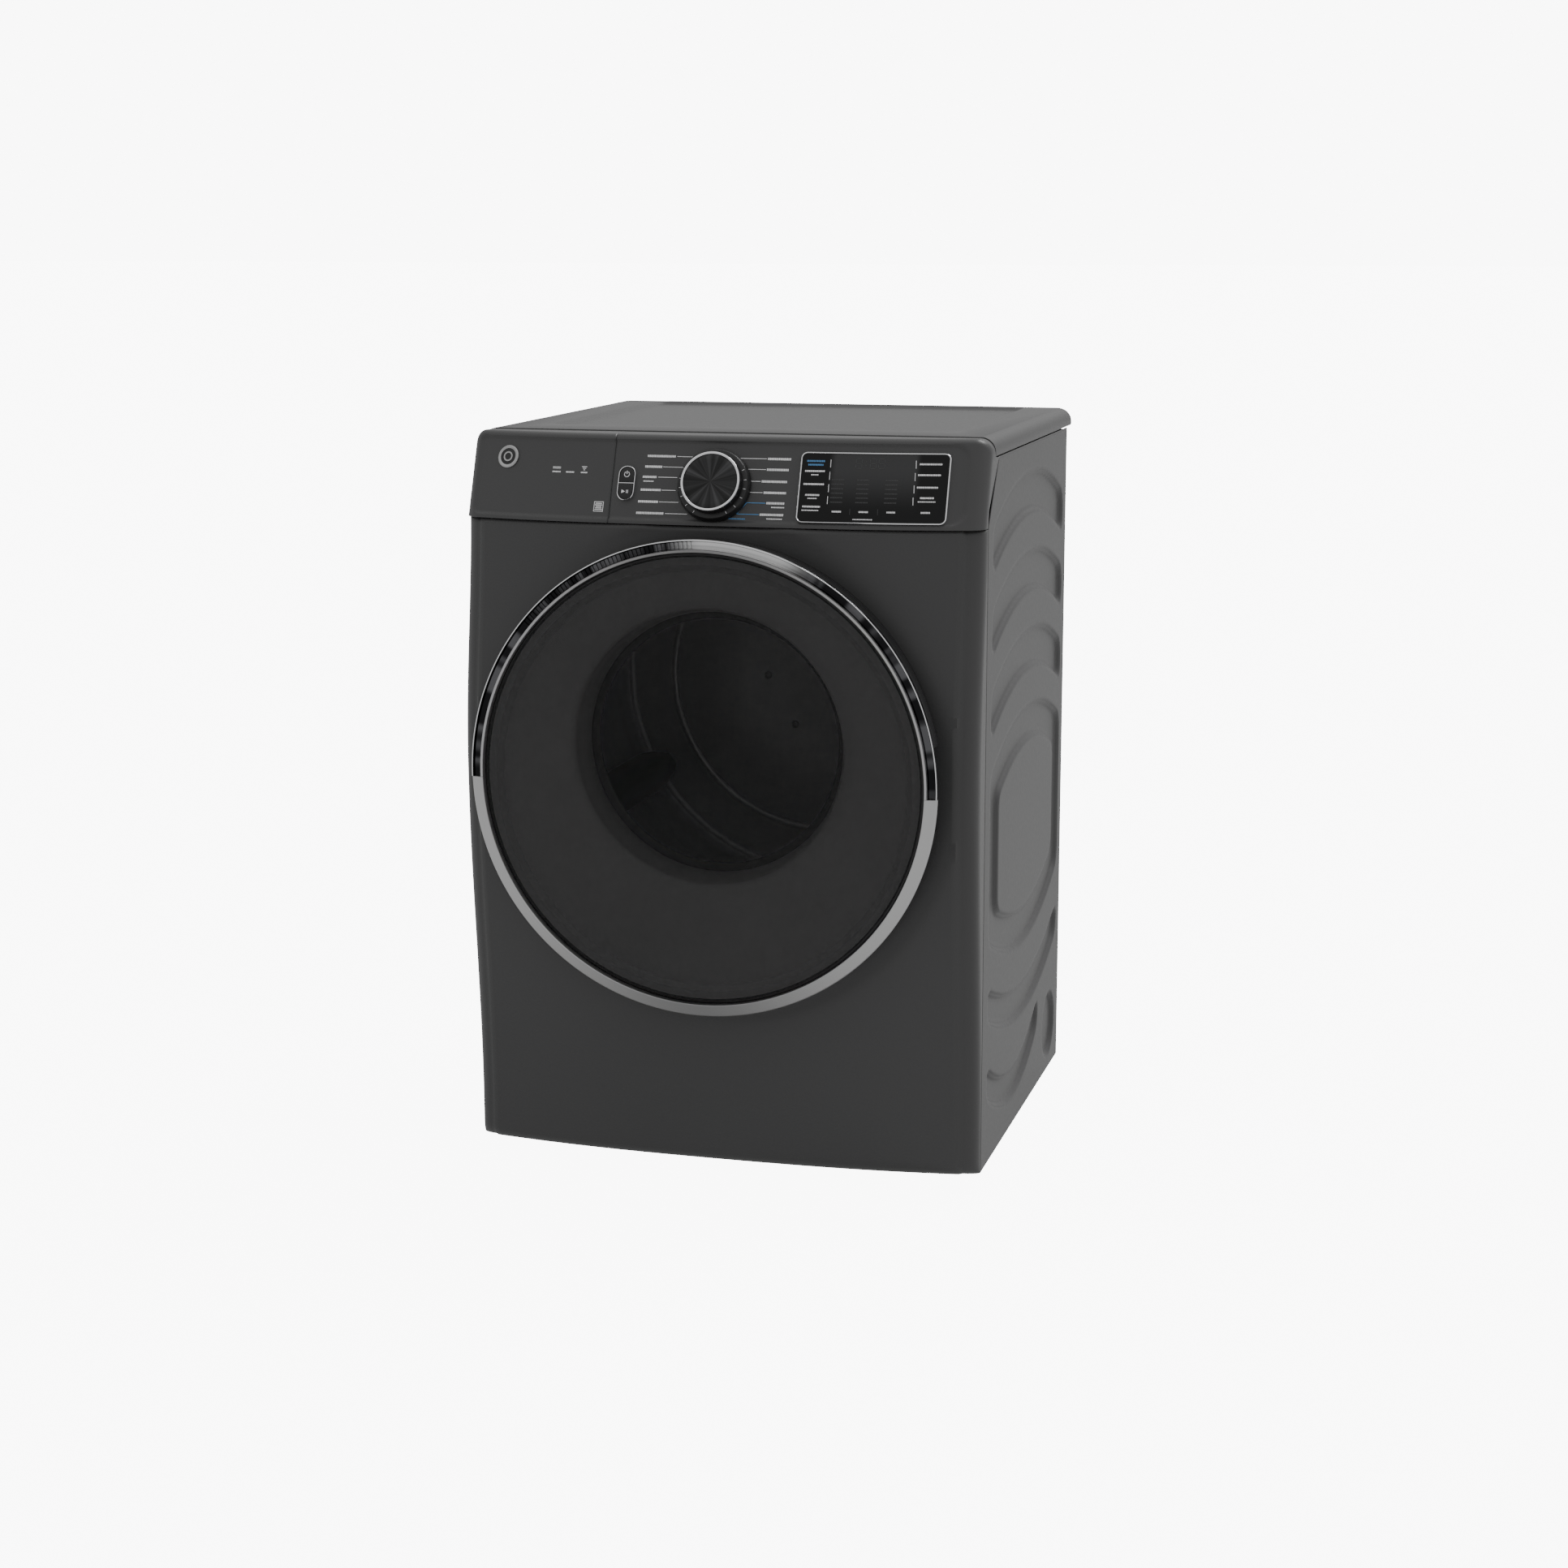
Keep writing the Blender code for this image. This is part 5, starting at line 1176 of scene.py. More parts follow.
def word(x0, x1, up, tall=0.0030, seed=1):
    """Short bars of uneven width between x0 and x1 that stand for a legend, as (centre, width, height)."""
    spots, x, n = [], x0, seed
    while x < x1 - 0.0006:
        n = (n * 1103515245 + 12345) % 2147483648
        wide = min((0.0011, 0.0014, 0.0017, 0.0009)[n // 65536 % 4], x1 - x)
        spots.append(((x + wide / 2, up), wide, tall))
        x += wide + 0.00045
    return spots


def mark_spots(marks, out=None):
    """Spots for marks on the sunken face, or at a stated height above the face's border."""
    spots = []
    for (x, up), wide, tall in marks:
        base = point_on(x, up, INK) if out is None else face_point(x, up, (0, 0, out))
        spots.append((base, turn_on(x, up), (wide, tall, MARK_DEPTH)))
    return spots


def line_spots(ends, thick=0.0007):
    """A thin leader between two points of the face."""
    (x0, u0), (x1, u1) = ends
    spots = []
    count = max(1, round(abs(x1 - x0) / 0.006))
    for k in range(count):
        xa, xb = x0 + (x1 - x0) * k / count, x0 + (x1 - x0) * (k + 1) / count
        ua, ub = u0 + (u1 - u0) * k / count, u0 + (u1 - u0) * (k + 1) / count
        x, up = (xa + xb) / 2, (ua + ub) / 2
        spin = math.atan2(ub - ua, xb - xa)
        spots.append((point_on(x, up, INK), turn_on(x, up, spin),
                      (math.hypot(xb - xa, ub - ua) + 0.0002, thick, MARK_DEPTH)))
    return spots


LEFT_ROWS = ((0.0935, -0.096, -0.0565, -0.0325), (0.079, -0.098, -0.0745, -0.046), (0.065, -0.100, -0.080, -0.0525),
             (0.0475, -0.101, -0.0735, -0.053), (0.0315, -0.103, -0.0755, -0.0475), (0.016, -0.104, -0.0655, -0.034))
RIGHT_ROWS = ((0.093, 0.0685, 0.100, 0.030), (0.0785, 0.0685, 0.098, 0.0425), (0.0625, 0.063, 0.098, 0.0465),
              (0.0475, 0.067, 0.097, 0.046), (0.0335, 0.072, 0.097, 0.0455), (0.018, 0.0645, 0.096, 0.0335))


class DRYER_OT_legends(bpy.types.Operator):
    """Print the cycle rows, leaders, signs and display fields as plain bars"""

    bl_idname = "dryer.legends"
    bl_label = "Printed marks"

    def execute(self, context):
        words, leaders, accents = [], [], []
        for n, (up, x0, x1, tip) in enumerate(LEFT_ROWS):
            words += word(x0, x1, up, seed=n + 3)
            leaders += line_spots(((x1 + 0.0015, up), (tip, up)))
        for n, (up, x0, x1, tip) in enumerate(RIGHT_ROWS):
            words += word(x0, x1, up, seed=n + 31)
            leader = line_spots(((tip, up), (x0 - 0.0015, up)), 0.0009 if n > 3 else 0.0007)
            (accents if n > 3 else leaders).extend(leader)
        accents += line_spots(((0.0335, 0.0185), (0.0455, 0.0335)), 0.0009)
        words += word(-0.0985, -0.0845, 0.0592, 0.0016, seed=5)
        words += word(0.079, 0.0965, 0.0280, 0.0016, seed=6) + word(0.074, 0.0955, 0.0125, 0.0016, seed=8)
        for x, wide in ((-0.2235, 0.0118), (-0.2035, 0.0120), (-0.1835, 0.0090)):
            words += word(x - wide / 2, x + wide / 2, 0.0685, 0.0019, seed=round(-x * 1e4))
        words += [((-0.2235, 0.0732 + 0.0018 * k), 0.0118, 0.0007) for k in range(2)]
        words += [((-0.1835, 0.0720 + 0.0022 * k), 0.0024 + 0.0026 * k, 0.0008) for k in range(3)]
        box = [((-0.15775, up), 0.0135, 0.0007) for up in (0.0163, 0.0293)]
        box += [((x, 0.0228), 0.0007, 0.0130) for x in (-0.1641, -0.1514)]
        box += [((-0.15775, 0.0187 + 0.0021 * k), 0.0105 - 0.0012 * (k % 3), 0.0010) for k in range(5)]
        scatter("cycle_words", mark_spots(words + box), UNIT_BLOCK, "cabinet", "print")
        scatter("cycle_leaders", leaders, UNIT_BLOCK, "cabinet", "print")
        blue = word(0.0215, 0.0455, 0.0115, 0.0016, seed=12)
        scatter("steam_leaders", accents + mark_spots(blue), UNIT_BLOCK, "cabinet", "accent")
        self.display_fields()
        return {"FINISHED"}

    def display_fields(self):
        bright, dim, blue = [], [], []
        left = ((0.0825, 0.122, 0.146), (0.0775, 0.124, 0.144), (0.0690, 0.1205, 0.147), (0.0640, 0.129, 0.139),
                (0.0515, 0.1200, 0.147), (0.0370, 0.1235, 0.1425), (0.0325, 0.127, 0.139),
                (0.0215, 0.1210, 0.1445), (0.0165, 0.1205, 0.1435))
        for n, (up, x0, x1) in enumerate(left):
            up += 0.008
            small = n in (3, 6, 8)
            target = blue if n < 2 else bright
            target += word(x0, x1, up, 0.0015 if small else 0.0023, seed=n + 50)
        for n, (up, x0, x1) in enumerate(((0.0880, 0.2685, 0.297), (0.0735, 0.2675, 0.297), (0.0570, 0.2675, 0.295),
                                          (0.0430, 0.2725, 0.290), (0.0380, 0.2700, 0.293), (0.0235, 0.275, 0.287))):
            bright += word(x0, x1, up, 0.0015 if n == 4 else 0.0023, seed=n + 70)
        for n, x in enumerate((0.1665, 0.2015, 0.2375)):
            bright += word(x - 0.006, x + 0.006, 0.0235, 0.0022, seed=n + 90)
        bright += word(0.1885, 0.2145, 0.0135, 0.0013, seed=97)
        for up in (0.0875, 0.0710, 0.0545, 0.0385):
            bright += [((x, up), 0.0007, 0.0105) for x in (0.1535, 0.2640)]
        dim += [((x, 0.0235), 0.0006, 0.008) for x in (0.184, 0.220)]
        for x in (0.1905, 0.2090, 0.2200):
            dim += [((x, 0.0880 + k * 0.0066), 0.0062, 0.0009) for k in (-1, 0, 1)]
            dim += [((x + s * 0.0039, 0.0880 + k * 0.0033), 0.0009, 0.0052) for s in (-1, 1) for k in (-1, 1)]
        dim += [((0.1998, up), 0.0014, 0.0014) for up in (0.0905, 0.0855)]
        for column, x in enumerate((0.165, 0.198, 0.235)):
            for row in range(6):
                dim += word(x - 0.008, x + 0.008, 0.066 - row * 0.006, 0.0016, seed=column * 9 + row + 200)
        for name, marks, look in (("display_words", bright, "print"), ("display_ghosts", dim, "faint"),
                                  ("display_accents", blue, "accent")):
            scatter(name, mark_spots(marks, 0.0011), UNIT_BLOCK, "cabinet", look)


# ------------------------------------------------------------ door

class DRYER_OT_door(bpy.types.Operator):
    """Make the door's shell, ring, window, funnel and inner bowl"""

    bl_idname = "dryer.door"
    bl_label = "Door"

    def execute(self, context):
        middle = (0.0, DOOR_Z)
        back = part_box("door_shell")[1].y - FRONT_Y
        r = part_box("door_shell")[1].x
        line = rounded_path([(r, -0.1125), (r, back - 0.006), (r - 0.006, back), (0.2350, back),
                             (0.2350, back - 0.0018), (r - 0.0072, back - 0.0018), (r - 0.0018, back - 0.0068),
                             (r - 0.0018, -0.1090), (0.2860, -0.1090), (0.2860, -0.1150), (0.2990, -0.1150),
                             (0.2990, -0.1125)], 0.0008)
        shell = put("door_tub", turned(line, middle, 180), "door", "shell", ("door_shell",))
        carve(shell, block((0.243, -0.1078, DOOR_Z - 0.056), (0.340, -0.05, DOOR_Z + 0.056)))
        self.ring(middle)
        dome = [(0, WINDOW_Y)] + [(WINDOW_R * k / 22, WINDOW_Y + 0.0072 * (k / 22) ** 2.2) for k in range(1, 22)]
        dome += [(WINDOW_R - 0.0008, WINDOW_Y + 0.0072), (WINDOW_R, WINDOW_Y + 0.0080), (WINDOW_R, -0.1158),
                 (WINDOW_R - 0.0004, -0.1154)]
        dome += [(WINDOW_R * k / 10, WINDOW_Y + 0.0040 + 0.0072 * (k / 10) ** 2.2) for k in range(9, 0, -1)]
        dome += [(0, WINDOW_Y + 0.0040)]
        put("window_pane", turned(dome, middle, 160), "door", "window", ("door_window",), 50)
        seat = [(WINDOW_R - 0.022, -0.1060), (WINDOW_R - 0.0125, -0.1153), (WINDOW_R - 0.0024, -0.1153),
                (WINDOW_R - 0.0024, -0.1147), (WINDOW_R - 0.0120, -0.1147), (WINDOW_R - 0.0215, -0.1052)]
        put("window_mask", turned(seat, middle, 160), "door", "funnel")
        self.bowl(back)
        return {"FINISHED"}

    def ring(self, middle):
        out, inner, b = RING_R, RING_IN_R, RING_BACK
        gap = math.radians(1.5)
        upper_half = (-gap + 0.0015, math.pi + gap - 0.0015)
        band = rounded_path([(out - 0.0008, b), (out, b - 0.002), (out, b - 0.0047), (out - 0.0015, b - 0.0067),
                             (inner + 0.001, b - 0.0117), (inner, b - 0.0107), (inner, b)], 0.0008, 4)
        put("silver_band", turned(band, middle, 150, (math.pi + gap, math.tau - gap)), "door", "silver",
            ("door_lower_band",))
        trough = rounded_path([(out - 0.0008, b), (out, b - 0.002), (out, b - 0.0067), (out - 0.001, b - 0.0077),
                               (out - 0.0022, b - 0.0070), (out - 0.0034, b - 0.0030), (inner + 0.0052, b - 0.0034),
                               (inner + 0.0046, b - 0.0080), (inner + 0.0040, b - 0.0080), (inner + 0.0040, b)],
                              0.0005, 3)
        put("finger_channel", turned(trough, middle, 150, upper_half), "door", "dark_chrome",
            ("door_grip_trim",))
        lip = rounded_path([(inner, b), (inner + 0.0037, b), (inner + 0.0044, b - 0.0080),
                            (inner + 0.0034, b - 0.0112), (inner + 0.001, b - 0.0117), (inner, b - 0.0107)],
                           0.0006, 3)
        put("inner_bright_ring", turned(lip, middle, 150, upper_half), "door", "silver")
        edge = rounded_path([(out - 0.0021, b - 0.0072), (out - 0.0004, b - 0.0072), (out - 0.0005, b - 0.0083),
                             (out - 0.0018, b - 0.0083)], 0.0003, 3)
        put("outer_bright_line", turned(edge, middle, 150, upper_half), "door", "bright")
        ribs = []
        count = shape_settings().grip_ribs
        radius = (inner + 0.0052 + out - 0.0034) / 2
        for k in range(count):
            a = math.radians(92 + 48 * k / (count - 1))
            ribs.append(((radius * math.cos(a), b - 0.0040, DOOR_Z + radius * math.sin(a)), (0, -a, 0),
                         (0.0080, 0.0022, 0.0016)))
        scatter("grip_ribs", ribs, UNIT_BLOCK, "door", "dark_chrome")

    def bowl(self, back):
        """The funnel behind the window, the inner panel with its plug, and the inner glass."""
        port_r, funnel_r, steps = 0.176, 0.2835, 128

        def circle(radius, y, z):
            return [(radius * math.cos(math.tau * k / steps), y, z + radius * math.sin(math.tau * k / steps))
                    for k in range(steps)]

        inside, outside = [], []
        for k in range(21):
            t = k / 20
            radius = port_r + 0.007 + (funnel_r - port_r - 0.007) * (1 - t) ** 2.4
            z = DRUM_Z + (DOOR_Z - DRUM_Z) * (1 - t) ** 2
            y = -0.1086 + 0.0320 * t
            inside.append(circle(radius, y, z))
            outside.append(circle(radius + 0.0016, y + 0.0006, z))
        for k in range(1, 6):
            t = k / 5
            radius, y = port_r + 0.007 * (1 - t) ** 2, -0.0766 + 0.0386 * t
            inside.append(circle(radius, y, DRUM_Z))
            outside.append(circle(radius + 0.0018, y, DRUM_Z))
        put("funnel", loft(inside + outside[::-1], closed=True), "door", "funnel",
            ("door_funnel",), 50)
        flange, plug, end = back - 0.0025, 0.190, -0.030
        rings = [circle(radius, y, DOOR_Z) for radius, y in (
            (0.2343, flange), (0.2343, back - 0.0008), (0.2335, back))]
        rings += [circle(radius, y, DRUM_Z) for radius, y in (
            (plug + 0.004, back), (plug + 0.001, back + 0.0012), (plug, back + 0.004), (plug, end - 0.003),
            (plug - 0.001, end - 0.0008), (plug - 0.003, end), (0.1662, end), (0.1655, end - 0.0008),
            (0.1655, end - 0.0025), (plug - 0.0028, end - 0.0025), (plug - 0.0028, flange))]
        put("bowl_holder", loft(rings, closed=True), "door", "grey", ("door_inner_panel",), 35)
        bulge = [(0, end - 0.0050)] + [(0.1868 * k / 14, end - 0.0050 + 0.0016 * (k / 14) ** 2) for k in range(1, 14)]
        bulge += [(0.1868, end - 0.0032), (0.1868, end - 0.0064), (0.120, end - 0.0076), (0, end - 0.0090)]
        put("bowl_glass", turned(bulge, (0, DRUM_Z), 96), "door", "inner_glass",
            ("door_inner_glass",), 50)
        places = [(DOOR_SCREW_R * math.cos(a), back, DOOR_Z + DOOR_SCREW_R * math.sin(a))
                  for a in (math.tau * (k + 0.5) / 10 for k in range(10))]
        screws = [(p, FACING_BACK, (0.0038, 0.0038, 0.0034)) for p in places if math.hypot(p[0], p[2] - DRUM_Z) > 0.2]
        scatter("door_screws", screws, SCREW, "door", "machined")


# ------------------------------------------------------------ drum

def drum_baffle(index):
    """A closed hollow blade along the drum, highest at the middle of its length."""
    base = (DRUM_R - SHEET) * math.cos(math.pi / 48) - 0.0022
    turn = math.radians(120 * index)
    front, back = DRUM_FRONT + 0.020, DRUM_BACK - 0.020
    rings = []
    for k in range(13):
        t = k / 12
        ease = min(1.0, 6 * t, 6 * (1 - t)) ** 0.5
        rise = 0.070 * (0.62 + 0.38 * ease)
        ring = []
        for s in range(17):
            u = -1 + 2 * s / 16
            lift = rise * (1 - abs(u) ** 2.6) ** 0.75 if abs(u) < 1 else 0.0
            ring.append((0.032 * u, base - lift))
        for s in range(17):
            u = 1 - 2 * s / 16
            ring.append((0.0290 * u, base - max(0.0, (rise - 0.0025) * (1 - abs(u) ** 2.6) ** 0.75)))
        rings.append([(x * math.cos(turn) - z * math.sin(turn), front + (back - front) * t,
                       DRUM_Z + x * math.sin(turn) + z * math.cos(turn)) for x, z in ring])
    return loft(rings, caps=True)


class DRYER_OT_drum(bpy.types.Operator):
    """Make the drum, its baffles and back, the loading throat and the felt"""

    bl_idname = "dryer.drum"
    bl_label = "Drum"

    def execute(self, context):
        f, b, r, w = DRUM_FRONT, DRUM_BACK, DRUM_R, SHEET
        centre = (0.0, DRUM_Z)
        lip = 0.212
        bead = 0.0030

        def wall(offset):
            points = []
            for k in range(61):
                y = f + 0.012 + (b - f - 0.024) * k / 60
                groove = sum(math.exp(-((y - m) / 0.006) ** 2) for m in (0.13, 0.30, 0.42))
                points.append((r - offset - bead * groove, y))
            return points

        outside = [(lip, f), (lip + 0.002, f), (r - 0.012, f), (r - 0.004, f + 0.003), *wall(0.0),
                   (r - 0.004, b - 0.003), (r - 0.012, b),
                   (0.26, b), (0.25, b - 0.004), (0.12, b - 0.004), (0.11, b), (0, b)]
        inside = [(0, b - w), (0.1106, b - w), (0.1206, b - w - 0.004), (0.2494, b - w - 0.004), (0.2594, b - w),
                  (r - 0.0125, b - w), (r - 0.0052, b - 0.0042), *wall(w)[::-1],
                  (r - 0.0052, f + 0.0042), (r - 0.0125, f + w), (lip, f + w)]
        put("drum_skin", turned(outside + inside, centre, 128), "drum", "drum", ("drum",), 40)
        for k in range(3):
            put(f"baffle_{k + 1}", drum_baffle(k), "drum", "grey",
                (f"drum_baffle_{k + 1}",), 40)
        for n, (radius, depth) in enumerate(((r - 0.016, 0.0022), (0.232, 0.0062))):
            bead_line = [(radius - 0.0050, b - w - depth + 0.0010), (radius - 0.0030, b - w - depth - 0.0012),
                         (radius, b - w - depth - 0.0020), (radius + 0.0030, b - w - depth - 0.0012),
                         (radius + 0.0050, b - w - depth + 0.0010)]
            put(f"drum_back_bead_{n + 1}", turned(bead_line, centre, 128), "drum", "bead")
        rivets = [((0.085 * math.cos(a), b - w - 0.0004, DRUM_Z + 0.085 * math.sin(a)), (math.pi / 2, 0, 0),
                   (0.0060, 0.0060, 0.0045)) for a in (math.tau * k / 6 for k in range(6))]
        scatter("drum_back_rivets", rivets, SCREW, "drum", "machined")
        self.throat(centre)
        return {"FINISHED"}

    def throat(self, centre):
        inner, outer = 0.200, 0.2025
        flange = LAND_Y + SHEET + 0.0004
        line = rounded_path([(inner, LAND_Y - 0.001), (outer, LAND_Y - 0.001), (outer, flange),
                             (outer + 0.020, flange), (outer + 0.020, flange + 0.002), (outer, flange + 0.002),
                             (outer, DRUM_FRONT + 0.008), (inner, DRUM_FRONT + 0.008)], 0.0006)
        sleeve = put("throat_sleeve", turned(line, centre, 144), "cabinet", "grey", ("drum_throat",))
        carve(sleeve, block((-0.0985, -0.0148, DRUM_Z - 0.230), (0.0985, 0.0048, DRUM_Z - 0.16)))
        g0, g1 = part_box("door_gasket")[0].y - FRONT_Y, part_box("door_gasket")[1].y - FRONT_Y
        seal = [(0.2085, g1), (0.2085, g0 + 0.0012), (0.2110, g0 + 0.0002), (0.2130, g0), (0.2145, g0 + 0.0014),
                (0.2160, g0), (0.2190, g0 + 0.0003), (0.2205, g0 + 0.0014), (0.2205, g1)]
        put("throat_seal", turned(seal, centre, 144), "cabinet", "rubber", ("door_gasket",))
        pad = rounded_path([(outer + 0.0003, DRUM_FRONT - 0.0052), (0.2105, DRUM_FRONT - 0.0052),
                            (0.2105, DRUM_FRONT - 0.0008), (outer + 0.0003, DRUM_FRONT - 0.0008)], 0.0012, 3)
        put("drum_felt_ring", turned(pad, centre, 128), "cabinet", "felt")


# ------------------------------------------------------------ rear, works and feet

class DRYER_OT_rear(bpy.types.Operator):
    """Make the rear panel's ribs, louvres and screws, and the duct collar"""

    bl_idname = "dryer.rear"
    bl_label = "Rear"

    def execute(self, context):
        low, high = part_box("rear_panel")
        z0, z1, x1 = low.z - BASE_Z, high.z - BASE_Z, high.x
        y = SIDE_DEPTH

        def emboss(x, z):
            """Pressed frame and stiffening ribs, drawn inwards from the sheet."""
            field = min(x1 - 0.045 - abs(x), z - z0 - 0.20, z1 - 0.05 - z)
            depth = 0.0030 * smooth(0, 0.010, field)
            for rib in (-0.17, 0.0, 0.17):
                rib_d = 0.010 - math.hypot(x - rib, max(0.0, abs(z - 0.52) - 0.20))
                depth -= 0.0025 * smooth(0, 0.006, rib_d) * smooth(0, 0.010, field)
            return depth

        heights = [z0 + (z1 - z0) * k / 150 for k in range(151)]
        columns = [[(x, y - emboss(x, z), z) for z in heights]
                   for x in (-x1 + 2 * x1 * k / 120 for k in range(121))]
        terminal_window = (-0.245, -0.205), (0.825, 0.875)
        shape = pierced(*loft(columns, cyclic=False), DUCT, DUCT_R + 0.0015, (terminal_window,))
        put("rear_skin", shape, "cabinet", "zinc", ("rear_panel",), 50, toward=(0, 1, 0), wall=0.0009)
        # the louvres are near-black blocks on the sheet: painted shade where the openings would be
        slots = [((x, y - 0.0010, 0.115 + 0.012 * row), (0, 0, 0), (0.046, 0.0030, 0.0045))
                 for row in range(6) for x in (0.12, 0.18, 0.24)]
        scatter("rear_louvres", slots, UNIT_BLOCK, "cabinet", "hole")
        places = [(sx * (x1 - 0.012), y, 0.06 + 0.145 * k) for sx in (-1, 1) for k in range(7)]
        places += [(-0.30 + 0.15 * k, y, z1 - 0.012) for k in range(5)]
        screws = [(place, FACING_BACK, (0.0042, 0.0042, 0.0036)) for place in places]
        scatter("rear_screws", screws, SCREW, "cabinet", "machined")
        self.duct()
        self.cover()
        return {"FINISHED"}

    def duct(self):
        d0, d1 = DUCT_LOW.y - FRONT_Y, DUCT_HIGH.y - FRONT_Y
        outside, inside = [], []
        for k in range(65):
            y = d0 + (d1 - d0) * k / 64
            bead = 0.0012 * math.exp(-((y - (d1 - 0.030)) / 0.0022) ** 2)
            outside.append((DUCT_R - 0.0008 + min(0.0008, bead), y))
            inside.append((DUCT_R - 0.0016 + min(0.0008, bead), y))
        put("duct_pipe", turned(outside + inside[::-1], DUCT, 72), "cabinet", "zinc",
            ("exhaust_duct",), 40)

    def cover(self):
        low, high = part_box("terminal_cover")
        x0, x1, z0, z1 = low.x, high.x, low.z - BASE_Z, high.z - BASE_Z
        y0, y1 = low.y - FRONT_Y, high.y - FRONT_Y
        cx, cz = (x0 + x1) / 2, (z0 + z1) / 2

        def ring(inset, y, radius):
            outline = rounded_rectangle(x1 - x0 - 2 * inset, z1 - z0 - 2 * inset, radius, 6, (cx, cz))
            return [(x, y, z) for x, z in outline]

        rings = [ring(0, y0, 0.005), ring(0, y1 - 0.004, 0.005), ring(0.0012, y1 - 0.0012, 0.0045),
                 ring(0.004, y1, 0.004)]
        put("terminal_lid", loft(rings, caps=True), "cabinet", "black", ("terminal_cover",), 50)
        bush = turned_z(rounded_path([(0.0085, -0.004), (0.0105, -0.004), (0.0105, 0.0), (0.0135, 0.0),
                                      (0.0135, 0.0030), (0.0085, 0.0030)], 0.0006), 40)
        place = Matrix.Translation((cx, (y0 + y1) / 2, z0)) @ Matrix.Rotation(math.pi, 4, "X")
        put("cord_bush", ([tuple(place @ Vector(p)) for p in bush[0]], bush[1]), "cabinet", "rubber")
        spots = [((cx, y1, cz + s * 0.036), FACING_BACK, (0.0036, 0.0036, 0.0030)) for s in (-1, 1)]
        scatter("terminal_screws", spots, SCREW, "cabinet", "machined")


WORKS = {
    "zinc": ("base_pan", "front_bulkhead", "rear_bulkhead", "heater_housing", "idler_arm", "motor_mount"),
    "machined": ("hinge_pin", "door_strike", "drum_shaft", "drum_bearing", "roller_axle_left", "roller_axle_right",
                 "motor_shaft"),
    "motor": ("motor",),
    "black": ("hinge_bracket", "hinge_leaf", "door_catch", "switch_plunger", "foot_front_left", "foot_front_right",
              "foot_rear_left", "foot_rear_right"),
    "grey": ("blower_wheel", "idler_pulley"),
    "white": ("blower_housing", "lint_duct"),
    "rubber": ("roller_left", "roller_right", "drive_belt"),
    "board": ("control_board",),
    "screen": ("lint_screen",),
}


class DRYER_OT_works(bpy.types.Operator):
    """Give the hidden works their finishes and add the heater's coil"""

    bl_idname = "dryer.works"
    bl_label = "Works"

    def execute(self, context):
        for look, nodes in WORKS.items():
            for node in nodes:
                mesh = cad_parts[node].data
                mesh.materials.clear()
                mesh.materials.append(finish(look))
        low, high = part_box("heater_housing")
        y = (low.y + high.y) / 2 - FRONT_Y
        path = []
        steps, span = 34 * 8, high.z - low.z - 0.08
        for run, x in enumerate((low.x + 0.045, low.x + 0.100, low.x + 0.155)):
            for k in range(steps + 1):
                t = k / steps
                up = t if run % 2 == 0 else 1 - t
                a = math.tau * k / 8
                path.append((x + 0.008 * math.cos(a), y + 0.008 * math.sin(a), low.z - BASE_Z + 0.04 + span * up))
        rings = []
        for k, p in enumerate(path):
            ahead = Vector(path[min(k + 1, len(path) - 1)]) - Vector(path[max(k - 1, 0)])
            if k == 0:
                first = ahead.orthogonal().normalized()
            else:
                first = (first - ahead * (first.dot(ahead) / ahead.length_squared)).normalized()
            second = ahead.cross(first).normalized()
            rings.append([tuple(Vector(p) + 0.0009 * (first * math.cos(a) + second * math.sin(a)))
                          for a in (math.tau * s / 5 for s in range(5))])
        put("heater_coil", loft(rings, caps=True), "cabinet", "coil")
        return {"FINISHED"}


# ------------------------------------------------------------ stage

BACKDROP = 9.0  # strength of floor and sky as the camera sees them
SKY_LOW, SKY_HIGH = 0.54, 1.12  # strength of the sky's light at the horizon and overhead
SUN_STRENGTH, SUN_SPREAD, SUN_TURN = 2.3, 25, (-28, 28, 0)
CAMERA_PLACE, CAMERA_TURN, FOCAL_LENGTH = (1.0858, -3.6673, 1.2822), (78.683, 0.085, 15.297), 66.47


def radians(angles):
    return [math.radians(a) for a in angles]


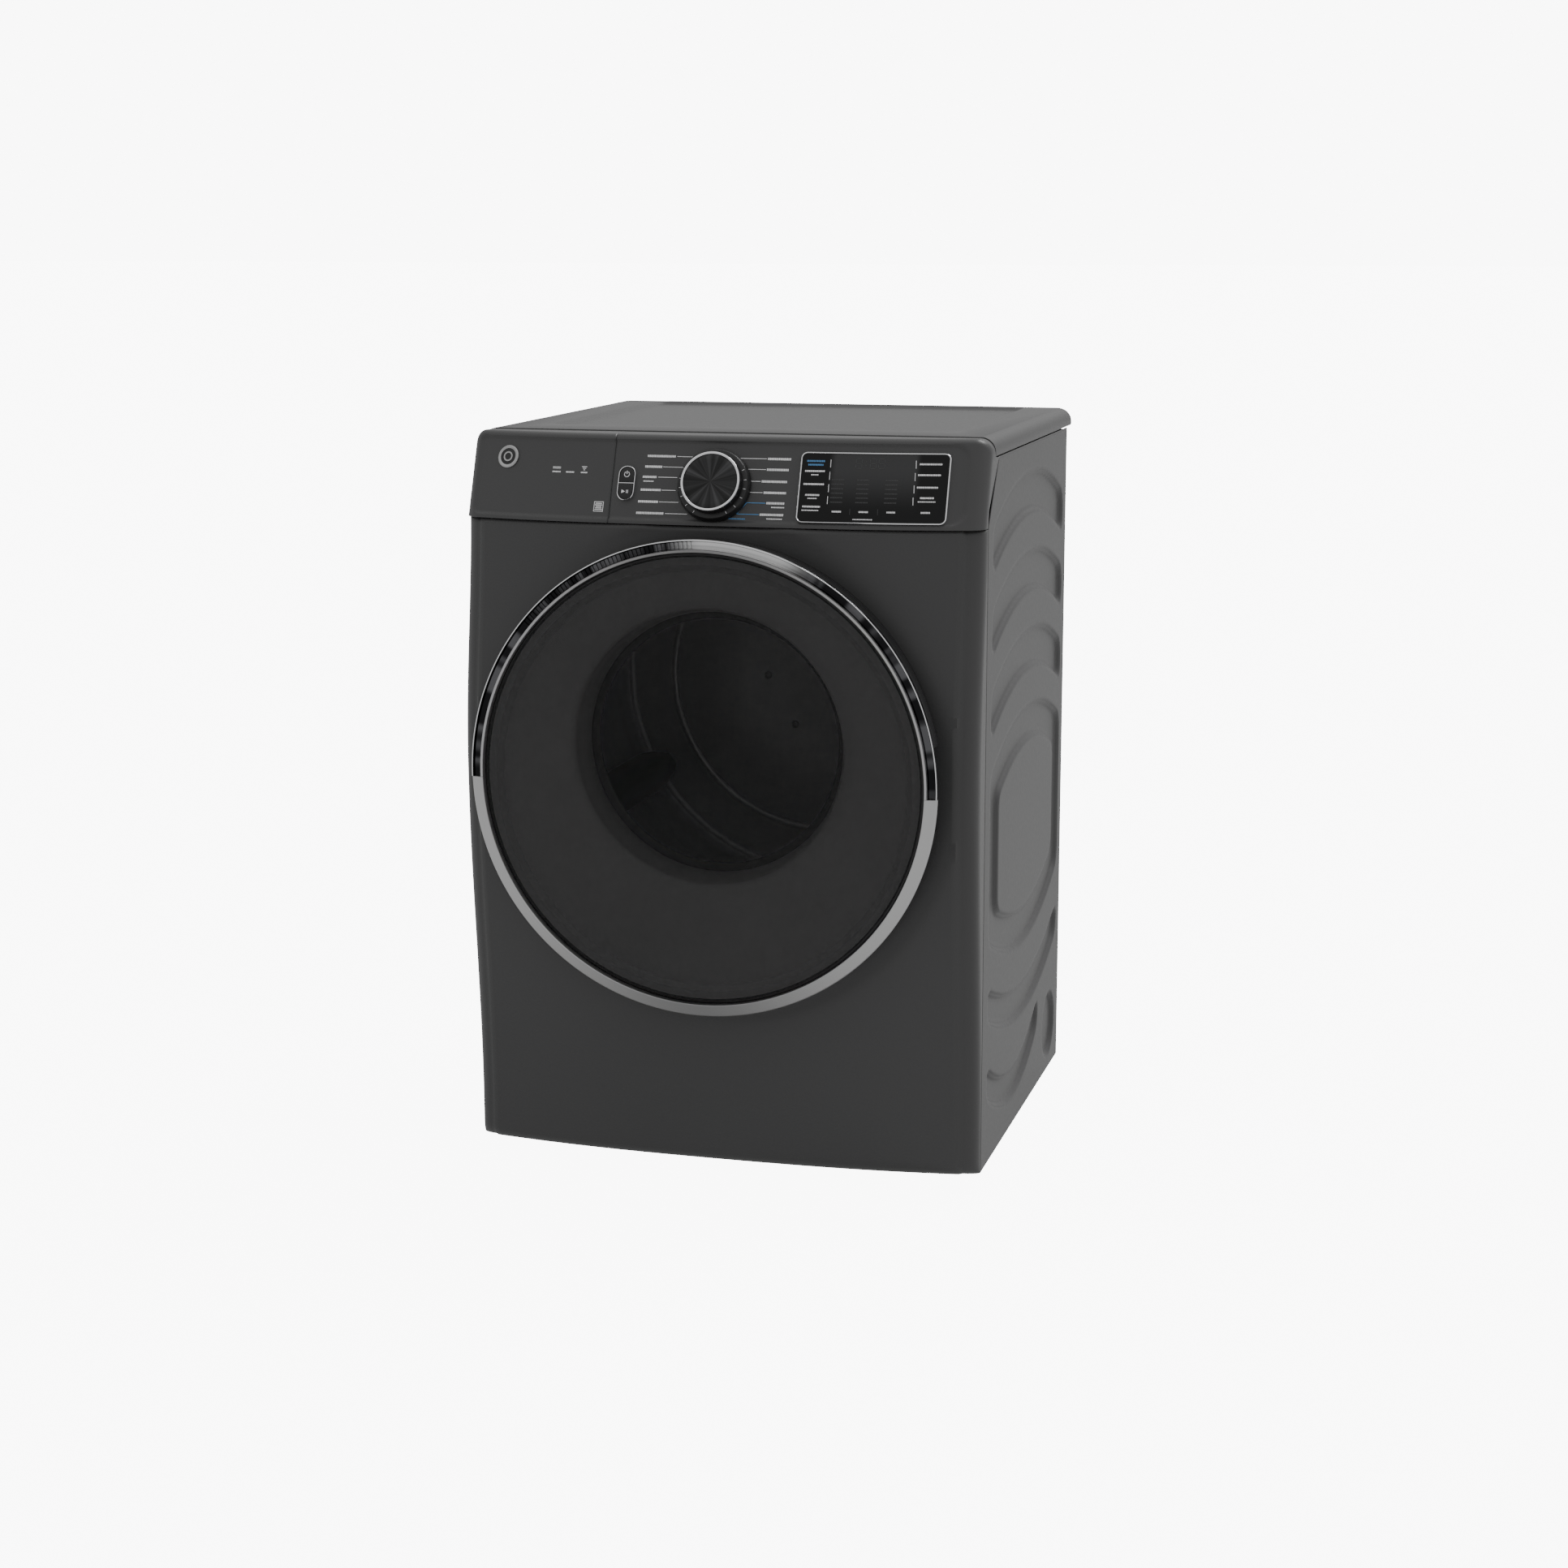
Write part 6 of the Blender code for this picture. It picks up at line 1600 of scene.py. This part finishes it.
class DRYER_OT_stage(bpy.types.Operator):
    """Set the pale floor, the soft lights, the world and the camera"""

    bl_idname = "dryer.stage"
    bl_label = "Stage"

    def execute(self, context):
        mesh = bpy.data.meshes.new("studio_floor")
        far = 60.0
        mesh.from_pydata([(-far, -far, 0), (far, -far, 0), (far, far, 0), (-far, far, 0)], [], [(0, 1, 2, 3)])
        ground = Recipe("studio_floor", roughness=0.9, Specular_IOR_Level=0.0)
        ground.colour(ground.mix(ground.noise(ground.place(), 0.4), (0.24, 0.24, 0.24), (0.25, 0.25, 0.25)))
        seen = Value(ground, ground.node("ShaderNodeLightPath").outputs["Is Camera Ray"])
        ground.feed(ground.shader, Emission_Color=ground.mix(seen, (0.42,) * 3, (BACKDROP,) * 3),
                    Emission_Strength=1.0)
        mesh.materials.append(ground.material)
        floor = add_object("studio_floor", mesh)
        world = bpy.data.worlds.new("studio")
        context.scene.world = world
        world.use_nodes = True
        sky = world.node_tree.nodes["Background"]
        sky.inputs["Color"].default_value = (1, 1, 1, 1)
        nodes, links = world.node_tree.nodes, world.node_tree.links
        ray = nodes.new("ShaderNodeLightPath")
        where = nodes.new("ShaderNodeTexCoord")
        parts = nodes.new("ShaderNodeSeparateXYZ")
        dome = nodes.new("ShaderNodeMapRange")
        dome.inputs["To Min"].default_value, dome.inputs["To Max"].default_value = SKY_LOW, SKY_HIGH
        level = nodes.new("ShaderNodeMapRange")
        level.inputs["To Max"].default_value = BACKDROP
        links.new(where.outputs["Generated"], parts.inputs[0])
        links.new(parts.outputs["Z"], dome.inputs["Value"])
        links.new(dome.outputs[0], level.inputs["To Min"])
        links.new(ray.outputs["Is Camera Ray"], level.inputs["Value"])
        links.new(level.outputs[0], sky.inputs["Strength"])
        lamp = bpy.data.lights.new("key", "SUN")
        lamp.energy, lamp.angle = SUN_STRENGTH, math.radians(SUN_SPREAD)
        add_object("key", lamp).rotation_euler = radians(SUN_TURN)
        lens = bpy.data.cameras.new("camera")
        lens.sensor_width, lens.lens = 36.0, FOCAL_LENGTH
        lens.clip_start, lens.clip_end = 0.05, 200.0
        camera = add_object("camera", lens)
        camera.location = Vector(CAMERA_PLACE) + CABINET_ORIGIN
        camera.rotation_euler = radians(CAMERA_TURN)
        context.scene.camera = camera
        return {"FINISHED"}


class DRYER_PT_panel(bpy.types.Panel):
    bl_idname = "DRYER_PT_panel"
    bl_label = "Clothes dryer"
    bl_space_type = "VIEW_3D"
    bl_region_type = "UI"
    bl_category = "Dryer"

    def draw(self, context):
        for settings in (context.scene.dryer_finish, context.scene.dryer_shape):
            for name in settings.bl_rna.properties.keys():
                if name not in {"rna_type", "name"}:
                    self.layout.prop(settings, name)
        for step in STEPS:
            self.layout.operator(step.bl_idname)


STEPS = (DRYER_OT_stage, DRYER_OT_cabinet, DRYER_OT_console, DRYER_OT_controls, DRYER_OT_legends, DRYER_OT_door,
         DRYER_OT_drum, DRYER_OT_rear, DRYER_OT_works)
CLASSES = (DryerFinishSettings, DryerShapeSettings, *STEPS, DRYER_PT_panel)


def register():
    for item in CLASSES:
        bpy.utils.register_class(item)
    bpy.types.Scene.dryer_finish = bpy.props.PointerProperty(type=DryerFinishSettings)
    bpy.types.Scene.dryer_shape = bpy.props.PointerProperty(type=DryerShapeSettings)


def unregister():
    del bpy.types.Scene.dryer_finish
    del bpy.types.Scene.dryer_shape
    for item in reversed(CLASSES):
        bpy.utils.unregister_class(item)


def main():
    register()
    for step in STEPS:
        group, action = step.bl_idname.split(".")
        result = getattr(getattr(bpy.ops, group), action)()
        if result != {"FINISHED"}:
            raise RuntimeError(f"{step.bl_idname} did not finish")


if __name__ == "__main__":
    main()
